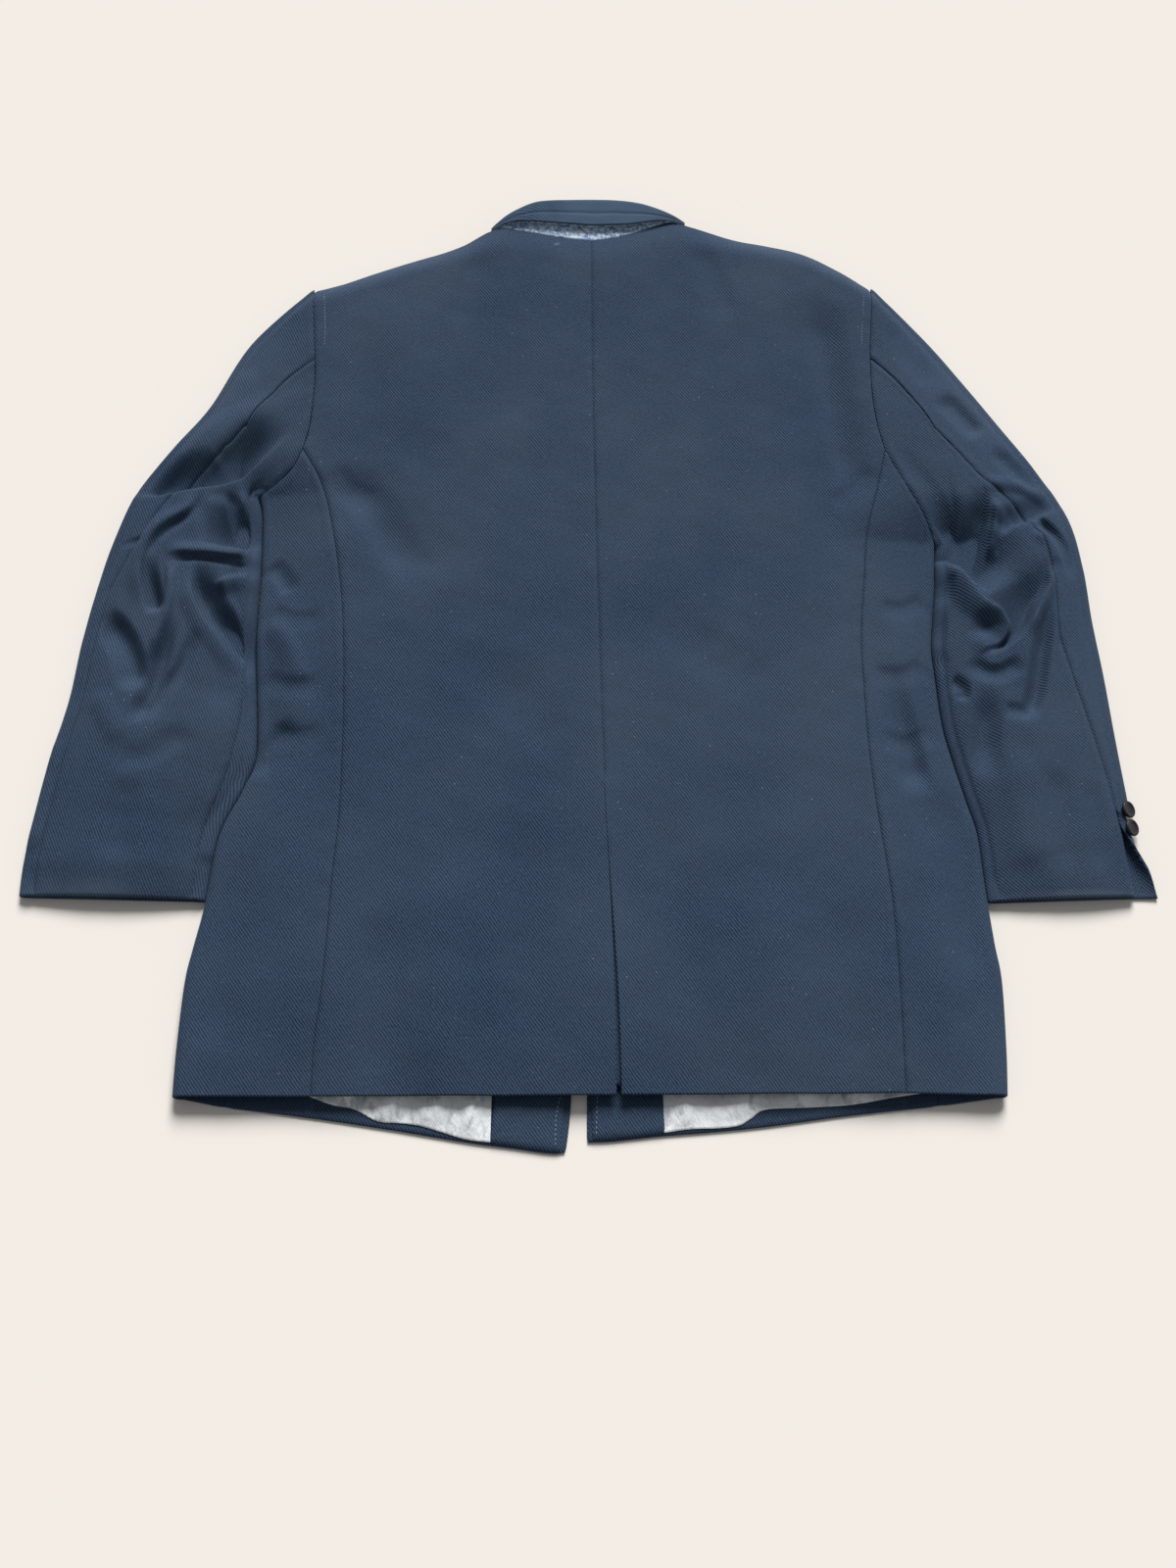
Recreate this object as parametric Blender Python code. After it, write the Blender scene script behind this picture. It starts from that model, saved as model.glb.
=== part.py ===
"""A navy twill blazer, laid flat on its fronts so that its back shows.

Metres. +X runs to the right of the back as it is seen, +Y from the hem to the collar, +Z up.
The origin is on the floor, under the middle of the garment's box.
Plan lines give each panel's outline, height functions give how far the cloth lies off the
floor, and every piece is a closed wall of cloth with a narrow gap to its neighbours.
"""
import math
from collections import namedtuple

import bmesh
import bpy
from mathutils import Matrix, Vector

# Cloth thicknesses and the gap that parts two pieces at a seam
WOOL = 0.0020
FELT = 0.0015
SATIN = 0.0010
SEAM = 0.00022
STACK = 0.0003

# Heights of the laid garment above the floor
HEM_HEIGHT = 0.0155
WAIST_HEIGHT = 0.0215
CHEST_HEIGHT = 0.0250
SHOULDER_HEIGHT = 0.0270
SIDE_EDGE_HEIGHT = 0.0125
SHOULDER_EDGE_HEIGHT = 0.0088
NECK_HEIGHT = 0.0225
UNDER_LIFT = 0.0033
LEAST_HOLLOW = 0.0030

# Widths of the rounded ends of the flattened body and sleeves
TURN = 0.0080
SHOULDER_ROLL = 0.0280
SIDE_FALL = 0.0850

# Lengthwise places of the main features
VENT_TOP_Y = -0.1400
VENT_GAP_AT_HEM = 0.0045
LIFT_START_Y = -0.2300
LIFT_END_Y = -0.1700
JACKET_BUTTON_DIAMETER = 0.0200
CUFF_BUTTON_DIAMETER = 0.0140
BUTTON_THICKNESS = 0.0028

LEFT = "left"
RIGHT = "right"
OUTWARD = {LEFT: -1.0, RIGHT: 1.0}

# Plan lines of the body, each from the hem upwards, (x, y)
CENTRE_SEAM = [(0.0230, -0.3850), (0.0210, -0.2995), (0.0130, -0.1355), (0.0080, 0.0345),
               (0.0040, 0.2245), (0.0030, 0.3819)]
SIDE_SEAM = {
    LEFT: [(-0.2050, -0.3860), (-0.2040, -0.3455), (-0.2000, -0.2995), (-0.1970, -0.2215),
           (-0.1940, -0.1645), (-0.1940, -0.1065), (-0.1960, -0.0400), (-0.2000, 0.0165),
           (-0.2080, 0.0715), (-0.2210, 0.1275), (-0.2400, 0.1645)],
    RIGHT: [(0.2350, -0.3835), (0.2350, -0.3105), (0.2340, -0.2535), (0.2310, -0.2105),
            (0.2260, -0.1645), (0.2220, -0.1105), (0.2210, -0.0605), (0.2210, -0.0105),
            (0.2260, 0.0405), (0.2310, 0.0855), (0.2420, 0.1295), (0.2500, 0.1635)],
}
BODY_EDGE = {
    LEFT: [(-0.3080, -0.3860), (-0.3080, -0.3500), (-0.3060, -0.2985), (-0.3020, -0.2715),
           (-0.2960, -0.2385), (-0.2900, -0.1885), (-0.2840, -0.1665), (-0.2740, -0.1445),
           (-0.2640, -0.1155), (-0.2640, -0.0845), (-0.2670, -0.0495), (-0.2700, -0.0055),
           (-0.2700, 0.0505), (-0.2720, 0.1045), (-0.2760, 0.1245)],
    RIGHT: [(0.3110, -0.3850), (0.3130, -0.3500), (0.3140, -0.2965), (0.3110, -0.2655),
            (0.3070, -0.2165), (0.3040, -0.1765), (0.2970, -0.1485), (0.2890, -0.1155),
            (0.2830, -0.0845), (0.2800, -0.0405), (0.2790, -0.0125), (0.2850, 0.0385),
            (0.2880, 0.0795)],
}
ARMHOLE = {
    LEFT: [(-0.2400, 0.1645), (-0.2350, 0.1895), (-0.2335, 0.2265), (-0.2340, 0.2495),
           (-0.2360, 0.2755), (-0.2410, 0.3369)],
    RIGHT: [(0.2500, 0.1635), (0.2450, 0.1875), (0.2425, 0.2115), (0.2420, 0.2365),
            (0.2430, 0.2665), (0.2490, 0.3379)],
}
UNDERARM = {
    LEFT: [(-0.2400, 0.1645), (-0.2470, 0.1485), (-0.2580, 0.1375), (-0.2700, 0.1295),
           (-0.2760, 0.1245)],
    RIGHT: [(0.2500, 0.1635), (0.2590, 0.1435), (0.2690, 0.1225), (0.2800, 0.1015),
            (0.2880, 0.0795)],
}
TOP_LINE = {
    LEFT: [(0.0030, 0.3819), (-0.0220, 0.3848), (-0.0420, 0.3890), (-0.0610, 0.3927),
           (-0.0750, 0.3960), (-0.0900, 0.3930), (-0.1090, 0.3841), (-0.1330, 0.3771),
           (-0.1600, 0.3676), (-0.1900, 0.3559), (-0.2150, 0.3453), (-0.2410, 0.3369)],
    RIGHT: [(0.0030, 0.3819), (0.0280, 0.3860), (0.0440, 0.3914), (0.0610, 0.3983),
            (0.0740, 0.4018), (0.0900, 0.3986), (0.1140, 0.3946), (0.1520, 0.3879),
            (0.1910, 0.3772), (0.2250, 0.3569), (0.2490, 0.3379)],
}
FRONT_SEAM = {
    LEFT: [(-0.2700, -0.3920), (-0.2560, -0.2500), (-0.2360, -0.1000), (-0.2360, 0.0200),
           (-0.2400, 0.1645)],
    RIGHT: [(0.2600, -0.3910), (0.2560, -0.2500), (0.2500, -0.1000), (0.2490, 0.0200),
            (0.2500, 0.1635)],
}
FRONT_HEM = {
    LEFT: [(-0.0170, -0.4255), (-0.0270, -0.4265), (-0.0560, -0.4225), (-0.0870, -0.4185),
           (-0.1410, -0.4095), (-0.2010, -0.4005), (-0.2700, -0.3920)],
    RIGHT: [(0.0000, -0.4180), (0.0170, -0.4175), (0.0540, -0.4135), (0.0910, -0.4105),
            (0.1310, -0.4065), (0.1900, -0.3985), (0.2600, -0.3910)],
}
FRONT_EDGE = {
    LEFT: [(-0.0170, -0.4255), (-0.0130, -0.3805), (-0.0100, -0.2500), (-0.0100, -0.0200),
           (-0.0550, 0.2100), (-0.0900, 0.3930)],
    RIGHT: [(0.0000, -0.4180), (0.0000, -0.3805), (0.0000, -0.2500), (0.0000, -0.0200),
            (0.0530, 0.2100), (0.0900, 0.3986)],
}
FRONT_SHOULDER = {
    LEFT: [(-0.0900, 0.3930), (-0.1330, 0.3771), (-0.1900, 0.3559), (-0.2410, 0.3369)],
    RIGHT: [(0.0900, 0.3986), (0.1520, 0.3879), (0.2250, 0.3569), (0.2490, 0.3379)],
}

# Cross lines of each sleeve, from just below the armhole to the cuff:
# outer end and inner end in plan, the two seams' shares of the way across, height of the crown
SleeveRow = namedtuple("SleeveRow", "outer inner hind_seam fore_seam crown")
SLEEVE_ROWS = {
    LEFT: [
        SleeveRow((-0.2925, 0.2826), (-0.2785, 0.1140), 0.56, 0.985, 0.0270),
        SleeveRow((-0.3243, 0.2168), (-0.2730, 0.0750), 0.33, 0.985, 0.0280),
        SleeveRow((-0.3521, 0.1754), (-0.2710, 0.0450), 0.23, 0.985, 0.0280),
        SleeveRow((-0.3792, 0.1338), (-0.2710, 0.0150), 0.18, 0.985, 0.0270),
        SleeveRow((-0.3953, 0.0846), (-0.2703, -0.0150), 0.11, 0.985, 0.0255),
        SleeveRow((-0.4048, 0.0401), (-0.2683, -0.0450), 0.04, 0.985, 0.0235),
        SleeveRow((-0.4127, -0.0097), (-0.2657, -0.0780), 0.03, 0.970, 0.0215),
        SleeveRow((-0.4179, -0.0600), (-0.2650, -0.1120), 0.03, 0.930, 0.0200),
        SleeveRow((-0.4276, -0.1100), (-0.2753, -0.1440), 0.03, 0.950, 0.0180),
        SleeveRow((-0.4346, -0.1596), (-0.2891, -0.1800), 0.03, 0.970, 0.0160),
        SleeveRow((-0.4395, -0.2000), (-0.2940, -0.2080), 0.03, 0.975, 0.0145),
        SleeveRow((-0.4400, -0.2270), (-0.2975, -0.2310), 0.03, 0.975, 0.0130),
    ],
    RIGHT: [
        SleeveRow((0.2927, 0.2867), (0.2925, 0.0610), 0.44, 0.985, 0.0260),
        SleeveRow((0.3243, 0.2399), (0.2872, 0.0400), 0.37, 0.985, 0.0260),
        SleeveRow((0.3521, 0.1960), (0.2838, 0.0180), 0.31, 0.985, 0.0260),
        SleeveRow((0.3778, 0.1550), (0.2810, -0.0040), 0.23, 0.985, 0.0255),
        SleeveRow((0.4016, 0.1081), (0.2805, -0.0280), 0.17, 0.985, 0.0245),
        SleeveRow((0.4102, 0.0622), (0.2820, -0.0550), 0.17, 0.985, 0.0230),
        SleeveRow((0.4131, 0.0101), (0.2843, -0.0850), 0.20, 0.985, 0.0215),
        SleeveRow((0.4176, -0.0399), (0.2905, -0.1160), 0.16, 0.985, 0.0200),
        SleeveRow((0.4210, -0.0900), (0.2984, -0.1480), 0.10, 0.985, 0.0185),
        SleeveRow((0.4245, -0.1350), (0.3055, -0.1780), 0.05, 0.985, 0.0165),
        SleeveRow((0.4280, -0.1750), (0.3076, -0.2050), 0.03, 0.985, 0.0150),
        SleeveRow((0.4340, -0.2270), (0.3098, -0.2320), 0.03, 0.985, 0.0130),
    ],
}
# Share of the way from the armhole to the cuff in which the armhole's bend dies out
BEND_REACH = 0.10

# Folds in the cloth: a line in plan, half the fold's width, its height (below zero is a trough)
Fold = namedtuple("Fold", "line half_width height")
BODY_FOLDS = [
    Fold([(0.189, 0.334), (0.196, 0.202), (0.202, 0.106), (0.210, 0.041)], 0.034, -0.0028),
    Fold([(-0.205, 0.144), (-0.160, 0.090), (-0.120, 0.030)], 0.040, -0.0022),
    Fold([(-0.250, 0.040), (-0.240, -0.030), (-0.225, -0.114)], 0.026, 0.0030),
    Fold([(0.270, -0.130), (0.285, -0.210), (0.290, -0.310)], 0.028, -0.0035),
    Fold([(0.262, 0.020), (0.254, -0.060), (0.262, -0.130)], 0.022, 0.0028),
    Fold([(-0.265, -0.190), (-0.278, -0.270), (-0.282, -0.360)], 0.026, -0.0026),
    Fold([(-0.100, -0.180), (-0.110, -0.280), (-0.115, -0.400)], 0.035, 0.0022),
    Fold([(0.130, -0.200), (0.140, -0.290), (0.150, -0.400)], 0.035, 0.0020),
    Fold([(-0.180, 0.330), (-0.150, 0.240), (-0.140, 0.160)], 0.040, 0.0020),
]
SLEEVE_FOLDS = {
    LEFT: [
        Fold([(-0.246, 0.160), (-0.292, 0.146), (-0.323, 0.132), (-0.357, 0.130),
              (-0.385, 0.148)], 0.021, -0.0120),
        Fold([(-0.238, 0.196), (-0.281, 0.188), (-0.319, 0.176), (-0.352, 0.166)], 0.026, 0.0050),
        Fold([(-0.322, 0.135), (-0.331, 0.106), (-0.352, 0.095), (-0.368, 0.062)], 0.014, -0.0045),
        Fold([(-0.362, 0.060), (-0.355, 0.026), (-0.347, -0.008)], 0.015, -0.0055),
        Fold([(-0.356, 0.061), (-0.319, 0.061), (-0.291, 0.063), (-0.258, 0.066)], 0.017, -0.0110),
        Fold([(-0.348, 0.084), (-0.317, 0.092), (-0.284, 0.088)], 0.020, 0.0075),
        Fold([(-0.322, 0.064), (-0.315, 0.031), (-0.301, 0.010), (-0.275, -0.024),
              (-0.262, -0.038)], 0.017, -0.0085),
        Fold([(-0.276, 0.140), (-0.272, 0.100), (-0.290, 0.072)], 0.015, -0.0090),
        Fold([(-0.405, 0.018), (-0.385, 0.001), (-0.373, -0.021), (-0.363, -0.052)], 0.018, -0.0045),
        Fold([(-0.336, 0.016), (-0.343, -0.024), (-0.350, -0.054), (-0.362, -0.092)], 0.018, -0.0055),
        Fold([(-0.308, -0.026), (-0.340, -0.061), (-0.354, -0.086), (-0.357, -0.112)], 0.016, -0.0040),
        Fold([(-0.300, -0.060), (-0.318, -0.120), (-0.332, -0.190)], 0.028, 0.0022),
    ],
    RIGHT: [
        Fold([(0.334, 0.132), (0.326, 0.090), (0.306, 0.042), (0.298, 0.020)], 0.018, -0.0120),
        Fold([(0.290, 0.059), (0.306, 0.046), (0.317, 0.026), (0.330, 0.013), (0.341, 0.002),
              (0.330, -0.014), (0.306, -0.024)], 0.015, 0.0080),
        Fold([(0.376, 0.066), (0.372, 0.043), (0.358, 0.022), (0.349, 0.002), (0.334, -0.020)],
             0.018, -0.0080),
        Fold([(0.258, 0.182), (0.270, 0.152), (0.284, 0.126), (0.296, 0.098), (0.298, 0.060)],
             0.018, -0.0100),
        Fold([(0.373, 0.016), (0.363, -0.023), (0.359, -0.054), (0.354, -0.092)], 0.018, -0.0050),
        Fold([(0.325, -0.050), (0.317, -0.085), (0.318, -0.108), (0.313, -0.145)], 0.018, -0.0045),
        Fold([(0.318, 0.230), (0.336, 0.196), (0.352, 0.160)], 0.022, -0.0030),
        Fold([(0.366, 0.150), (0.385, 0.110), (0.402, 0.066)], 0.020, -0.0032),
        Fold([(0.352, 0.120), (0.356, 0.085), (0.345, 0.045)], 0.020, 0.0055),
        Fold([(0.388, 0.068), (0.384, 0.035), (0.382, -0.008)], 0.014, 0.0035),
        Fold([(0.350, -0.100), (0.362, -0.150), (0.366, -0.205)], 0.030, 0.0022),
    ],
}

# Shares of the way along shared seams, so that neighbours have their corners together
SEAM_SHARES = [step / 20 for step in range(21)]
ARMHOLE_SHARES = [0.0, 0.13, 0.26, 0.39, 0.52, 0.64, 0.76, 0.87, 0.95, 1.0]
BACK_SHARES = [0.0, 0.06, 0.15, 0.26, 0.38, 0.50, 0.62, 0.74, 0.85, 0.93, 1.0]
FRONT_SHARES = [0.0, 0.11, 0.22, 0.42, 0.62, 0.81, 1.0]
SIDE_LOWER_SHARES = [1.0, 0.5, 0.0]
TURN_STEPS = 4
SLEEVE_ROW_COUNT = 22
LOWER_ARMHOLE_CORNER = 3

# Colours of the materials, linear
NAVY = (0.036, 0.060, 0.102, 1.0)
FELT_BLUE = (0.120, 0.180, 0.290, 1.0)
SILVER = (0.420, 0.460, 0.510, 1.0)
DARK_HORN = (0.012, 0.014, 0.020, 1.0)


def blend(first, last, share):
    return first + (last - first) * share


def ease(value):
    """A soft step from 0 to 1."""
    value = min(max(value, 0.0), 1.0)
    return value * value * (3.0 - 2.0 * value)


def rise(value):
    """A quarter wave that leaves the edge steeply and ends level."""
    return math.sin(0.5 * math.pi * min(max(value, 0.0), 1.0))


class PlanLine:
    """A smooth line in plan through a few points, read by the share of its length."""

    STEPS = 8

    def __init__(self, points, smooth=True):
        corners = [Vector(point) for point in points]
        self.points = [corners[0]]
        for index in range(len(corners) - 1):
            before = corners[max(index - 1, 0)]
            start = corners[index]
            end = corners[index + 1]
            after = corners[min(index + 2, len(corners) - 1)]
            steps = self.STEPS if smooth else 1
            for step in range(1, steps + 1):
                share = step / steps
                if smooth:
                    self.points.append(self.between(before, start, end, after, share))
                else:
                    self.points.append(end)
        self.lengths = [0.0]
        for first, last in zip(self.points, self.points[1:]):
            self.lengths.append(self.lengths[-1] + (last - first).length)

    @staticmethod
    def between(before, start, end, after, share):
        """Catmull and Rom's cubic between start and end."""
        linear = end - before
        square = before * 2.0 - start * 5.0 + end * 4.0 - after
        cube = start * 3.0 - before - end * 3.0 + after
        return start + (linear * share + square * share ** 2 + cube * share ** 3) * 0.5

    @property
    def length(self):
        return self.lengths[-1]

    def at(self, share):
        target = min(max(share, 0.0), 1.0) * self.length
        for index in range(1, len(self.lengths)):
            if target <= self.lengths[index] or index == len(self.lengths) - 1:
                span = self.lengths[index] - self.lengths[index - 1]
                part = (target - self.lengths[index - 1]) / span
                return self.points[index - 1].lerp(self.points[index], part)

    def read(self, shares):
        return [self.at(share) for share in shares]


class PlacedLine:
    """A smooth line in plan whose points lie at given places from 0 to 1."""

    def __init__(self, points, places):
        self.corners = [Vector(point) for point in points]
        self.places = places

    def at(self, place):
        place = min(max(place, 0.0), 1.0)
        last = len(self.places) - 2
        index = 0
        while index < last and place > self.places[index + 1]:
            index += 1
        share = (place - self.places[index]) / (self.places[index + 1] - self.places[index])
        before = self.corners[max(index - 1, 0)]
        after = self.corners[min(index + 2, len(self.corners) - 1)]
        return PlanLine.between(before, self.corners[index], self.corners[index + 1], after, share)


def inset_points(points, distance):
    """Points moved sideways from their line, to its left if the distance is above zero."""
    moved = []
    for index, point in enumerate(points):
        before = points[max(index - 1, 0)]
        after = points[min(index + 1, len(points) - 1)]
        along = (after - before).normalized()
        moved.append(point + Vector((-along.y, along.x)) * distance)
    return moved


def value_at(rows, place):
    """A value from rows of (place, value), straight between them."""
    if place <= rows[0][0]:
        return rows[0][1]
    for (low, first), (high, last) in zip(rows, rows[1:]):
        if place <= high:
            return blend(first, last, (place - low) / (high - low))
    return rows[-1][1]


def patch(bottom, top, left, right, across, along):
    """Plan points inside four border lines. Rows run from bottom to top."""
    grid = []
    for row, v in enumerate(along):
        line = []
        for column, u in enumerate(across):
            between_rows = bottom[column].lerp(top[column], v)
            between_sides = left[row].lerp(right[row], u)
            corner_low = bottom[0].lerp(bottom[-1], u)
            corner_high = top[0].lerp(top[-1], u)
            line.append(between_rows + between_sides - corner_low.lerp(corner_high, v))
        grid.append(line)
    return grid


class FoldLine:
    """One fold, ready to be read at any place in plan."""

    END_SHARE = 0.25

    def __init__(self, fold):
        self.line = PlanLine(fold.line)
        self.half_width = fold.half_width
        self.height = fold.height
        xs = [point.x for point in self.line.points]
        ys = [point.y for point in self.line.points]
        self.low = (min(xs) - fold.half_width, min(ys) - fold.half_width)
        self.high = (max(xs) + fold.half_width, max(ys) + fold.half_width)

    def at(self, place):
        if not (self.low[0] < place.x < self.high[0] and self.low[1] < place.y < self.high[1]):
            return 0.0
        nearest = self.half_width
        share = 0.0
        points = self.line.points
        for index in range(len(points) - 1):
            start = points[index]
            span = points[index + 1] - start
            part = min(max((place - start).dot(span) / span.length_squared, 0.0), 1.0)
            away = (place - start - span * part).length
            if away < nearest:
                nearest = away
                share = (self.line.lengths[index] + part * span.length) / self.line.length
        across = nearest / self.half_width
        lengthwise = ease(min(share, 1.0 - share) / self.END_SHARE)
        return self.height * lengthwise * (1.0 - across * across) ** 2


BODY_FOLD_LINES = [FoldLine(fold) for fold in BODY_FOLDS]
SLEEVE_FOLD_LINES = {side: [FoldLine(fold) for fold in folds]
                     for side, folds in SLEEVE_FOLDS.items()}


def under_lift(y):
    """How far the fronts are held off the floor by the lapels and buttons under them."""
    return UNDER_LIFT * ease((y - LIFT_START_Y) / (LIFT_END_Y - LIFT_START_Y))


def edge_x(side, y):
    """The body's side edge. Above the armpit it runs out into the sleeve."""
    armpit = BODY_EDGE[side][-1]
    rows = [(point[1], point[0]) for point in BODY_EDGE[side]]
    rows.append((armpit[1] + 0.10, armpit[0] + OUTWARD[side] * 0.14))
    return value_at(rows, y)


def top_line_y(x):
    side = LEFT if x < TOP_LINE[LEFT][0][0] else RIGHT
    rows = sorted(TOP_LINE[side])
    return value_at(rows, x)


def top_edge_height(x):
    """Height of the back's upper border: low at the shoulders, high under the collar."""
    reach = abs(x - CENTRE_SEAM[-1][0])
    return blend(NECK_HEIGHT, SHOULDER_EDGE_HEIGHT, ease((reach - 0.070) / 0.070))


def back_height(place):
    """Height of the upper layer's outer face over the whole body."""
    x, y = place
    level = value_at([(-0.390, HEM_HEIGHT), (-0.300, 0.0185), (-0.100, WAIST_HEIGHT),
                      (0.120, CHEST_HEIGHT), (0.300, SHOULDER_HEIGHT)], y)
    side = LEFT if x < CENTRE_SEAM[0][0] else RIGHT
    inward = OUTWARD[side] * (edge_x(side, y) - x) - TURN
    height = blend(SIDE_EDGE_HEIGHT, level, rise(inward / SIDE_FALL))
    below_top = top_line_y(x) - y
    height = blend(top_edge_height(x), height, rise(below_top / SHOULDER_ROLL))
    for fold in BODY_FOLD_LINES:
        height += fold.at(place)
    return height


def grid_of(plan, height_at):
    """Points of a wall's two faces over a plan grid, parted straight down."""
    outer = []
    inner = []
    for line in plan:
        heights = [height_at(place) for place in line]
        outer.append([Vector((*place, height)) for place, height in zip(line, heights)])
        inner.append([Vector((*place, height - WOOL)) for place, height in zip(line, heights)])
    return outer, inner


def join_columns(*grids):
    """Set grids side by side. A border that two of them share is kept once."""
    joined = [list(row) for row in grids[0]]
    for grid in grids[1:]:
        for row, line in zip(joined, grid):
            row.extend(line[1:])
    return joined


def turn_columns(sheet_edge, reaches, ways, top, bottom, thickness, steps=TURN_STEPS):
    """The rounded end of a flattened tube, from the upper sheet round to the lower one.

    Each row reaches past the sheets' edge by its own distance, in its own way in plan.
    """
    outer = []
    inner = []
    for edge, distance, way, high, low in zip(sheet_edge, reaches, ways, top, bottom):
        middle = 0.5 * (high + low)
        radius = 0.5 * (high - low)
        reach = way * distance
        inner_reach = way * (distance - thickness)
        outer_row = []
        inner_row = []
        for step in range(steps + 1):
            angle = math.pi * step / steps
            out = math.sin(angle)
            up = math.cos(angle)
            outer_row.append(Vector((*(edge + reach * out), middle + radius * up)))
            inner_row.append(Vector((*(edge + inner_reach * out),
                                     middle + (radius - thickness) * up)))
        outer.append(outer_row)
        inner.append(inner_row)
    return outer, inner


def part_seams(grid, borders):
    """Draw the named borders of a grid back from their seam."""
    rows = len(grid)
    columns = len(grid[0])

    def draw_back(border, neighbour):
        step = neighbour - border
        return border + step.normalized() * SEAM

    if "first row" in borders:
        grid[0] = [draw_back(grid[0][c], grid[1][c]) for c in range(columns)]
    if "last row" in borders:
        grid[-1] = [draw_back(grid[-1][c], grid[-2][c]) for c in range(columns)]
    for row in range(rows):
        if "first column" in borders:
            grid[row][0] = draw_back(grid[row][0], grid[row][1])
        if "last column" in borders:
            grid[row][-1] = draw_back(grid[row][-1], grid[row][-2])
    return grid


class Workshop:
    """Makes named solids in the blazer's collection."""

    def __init__(self):
        for old in list(bpy.data.objects):
            bpy.data.objects.remove(old, do_unlink=True)
        self.collection = bpy.data.collections.new("blazer")
        bpy.context.scene.collection.children.link(self.collection)

    def material(self, name, colour, roughness):
        made = bpy.data.materials.new(name)
        made.use_nodes = True
        shader = made.node_tree.nodes["Principled BSDF"]
        shader.inputs["Base Color"].default_value = colour
        shader.inputs["Roughness"].default_value = roughness
        shader.inputs["Metallic"].default_value = 0.0
        made.diffuse_color = colour
        return made

    def add(self, name, mesh, material):
        made = bpy.data.objects.new(name, mesh)
        mesh.materials.clear()
        mesh.materials.append(material)
        self.collection.objects.link(made)
        return made

    def wall(self, name, outer, inner, material):
        """A closed wall between two grids of points with the same rows and columns."""
        rows = len(outer)
        columns = len(outer[0])
        shape = bmesh.new()
        face_a = [[shape.verts.new(point) for point in row] for row in outer]
        face_b = [[shape.verts.new(point) for point in row] for row in inner]
        for row in range(rows - 1):
            for column in range(columns - 1):
                for face in (face_a, face_b):
                    a = face[row][column]
                    b = face[row][column + 1]
                    c = face[row + 1][column + 1]
                    d = face[row + 1][column]
                    shape.faces.new((a, b, c))
                    shape.faces.new((a, c, d))
        border = [(0, column) for column in range(columns)]
        border += [(row, columns - 1) for row in range(1, rows)]
        border += [(rows - 1, column) for column in range(columns - 2, -1, -1)]
        border += [(row, 0) for row in range(rows - 2, 0, -1)]
        for (r0, c0), (r1, c1) in zip(border, border[1:] + border[:1]):
            shape.faces.new((face_a[r0][c0], face_a[r1][c1], face_b[r1][c1]))
            shape.faces.new((face_a[r0][c0], face_b[r1][c1], face_b[r0][c0]))
        bmesh.ops.recalc_face_normals(shape, faces=shape.faces)
        mesh = bpy.data.meshes.new(name)
        shape.to_mesh(mesh)
        shape.free()
        mesh.shade_smooth()
        return self.add(name, mesh, material)

    def plate(self, name, outline, bottom, thickness, material):
        """A flat piece of cloth cut to a plan outline."""
        curve = bpy.data.curves.new(name, "CURVE")
        curve.dimensions = "2D"
        curve.fill_mode = "BOTH"
        curve.extrude = 0.5 * thickness
        spline = curve.splines.new("POLY")
        spline.points.add(len(outline) - 1)
        for point, (x, y) in zip(spline.points, outline):
            point.co = (x, y, 0.0, 1.0)
        spline.use_cyclic_u = True
        made = self.add(name, curve, material)
        made.location.z = bottom + 0.5 * thickness
        return made

    def button(self, name, centre, axis, diameter, material):
        """A round button with a dished middle, its face along the axis."""
        radius = 0.5 * diameter
        half = 0.5 * BUTTON_THICKNESS
        shape = bmesh.new()
        bmesh.ops.create_cone(shape, cap_ends=True, cap_tris=False, segments=14,
                              radius1=radius, radius2=radius, depth=2.0 * half)
        cap = max(shape.faces, key=lambda face: face.calc_center_median().z)
        bmesh.ops.inset_region(shape, faces=[cap], thickness=0.22 * radius, depth=0.0)
        bmesh.ops.inset_region(shape, faces=[cap], thickness=0.10 * radius, depth=-0.0006)
        mesh = bpy.data.meshes.new(name)
        shape.to_mesh(mesh)
        shape.free()
        made = self.add(name, mesh, material)
        turn = Vector((0.0, 0.0, 1.0)).rotation_difference(Vector(axis).normalized())
        made.matrix_world = Matrix.Translation(centre) @ turn.to_matrix().to_4x4()
        return made


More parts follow.
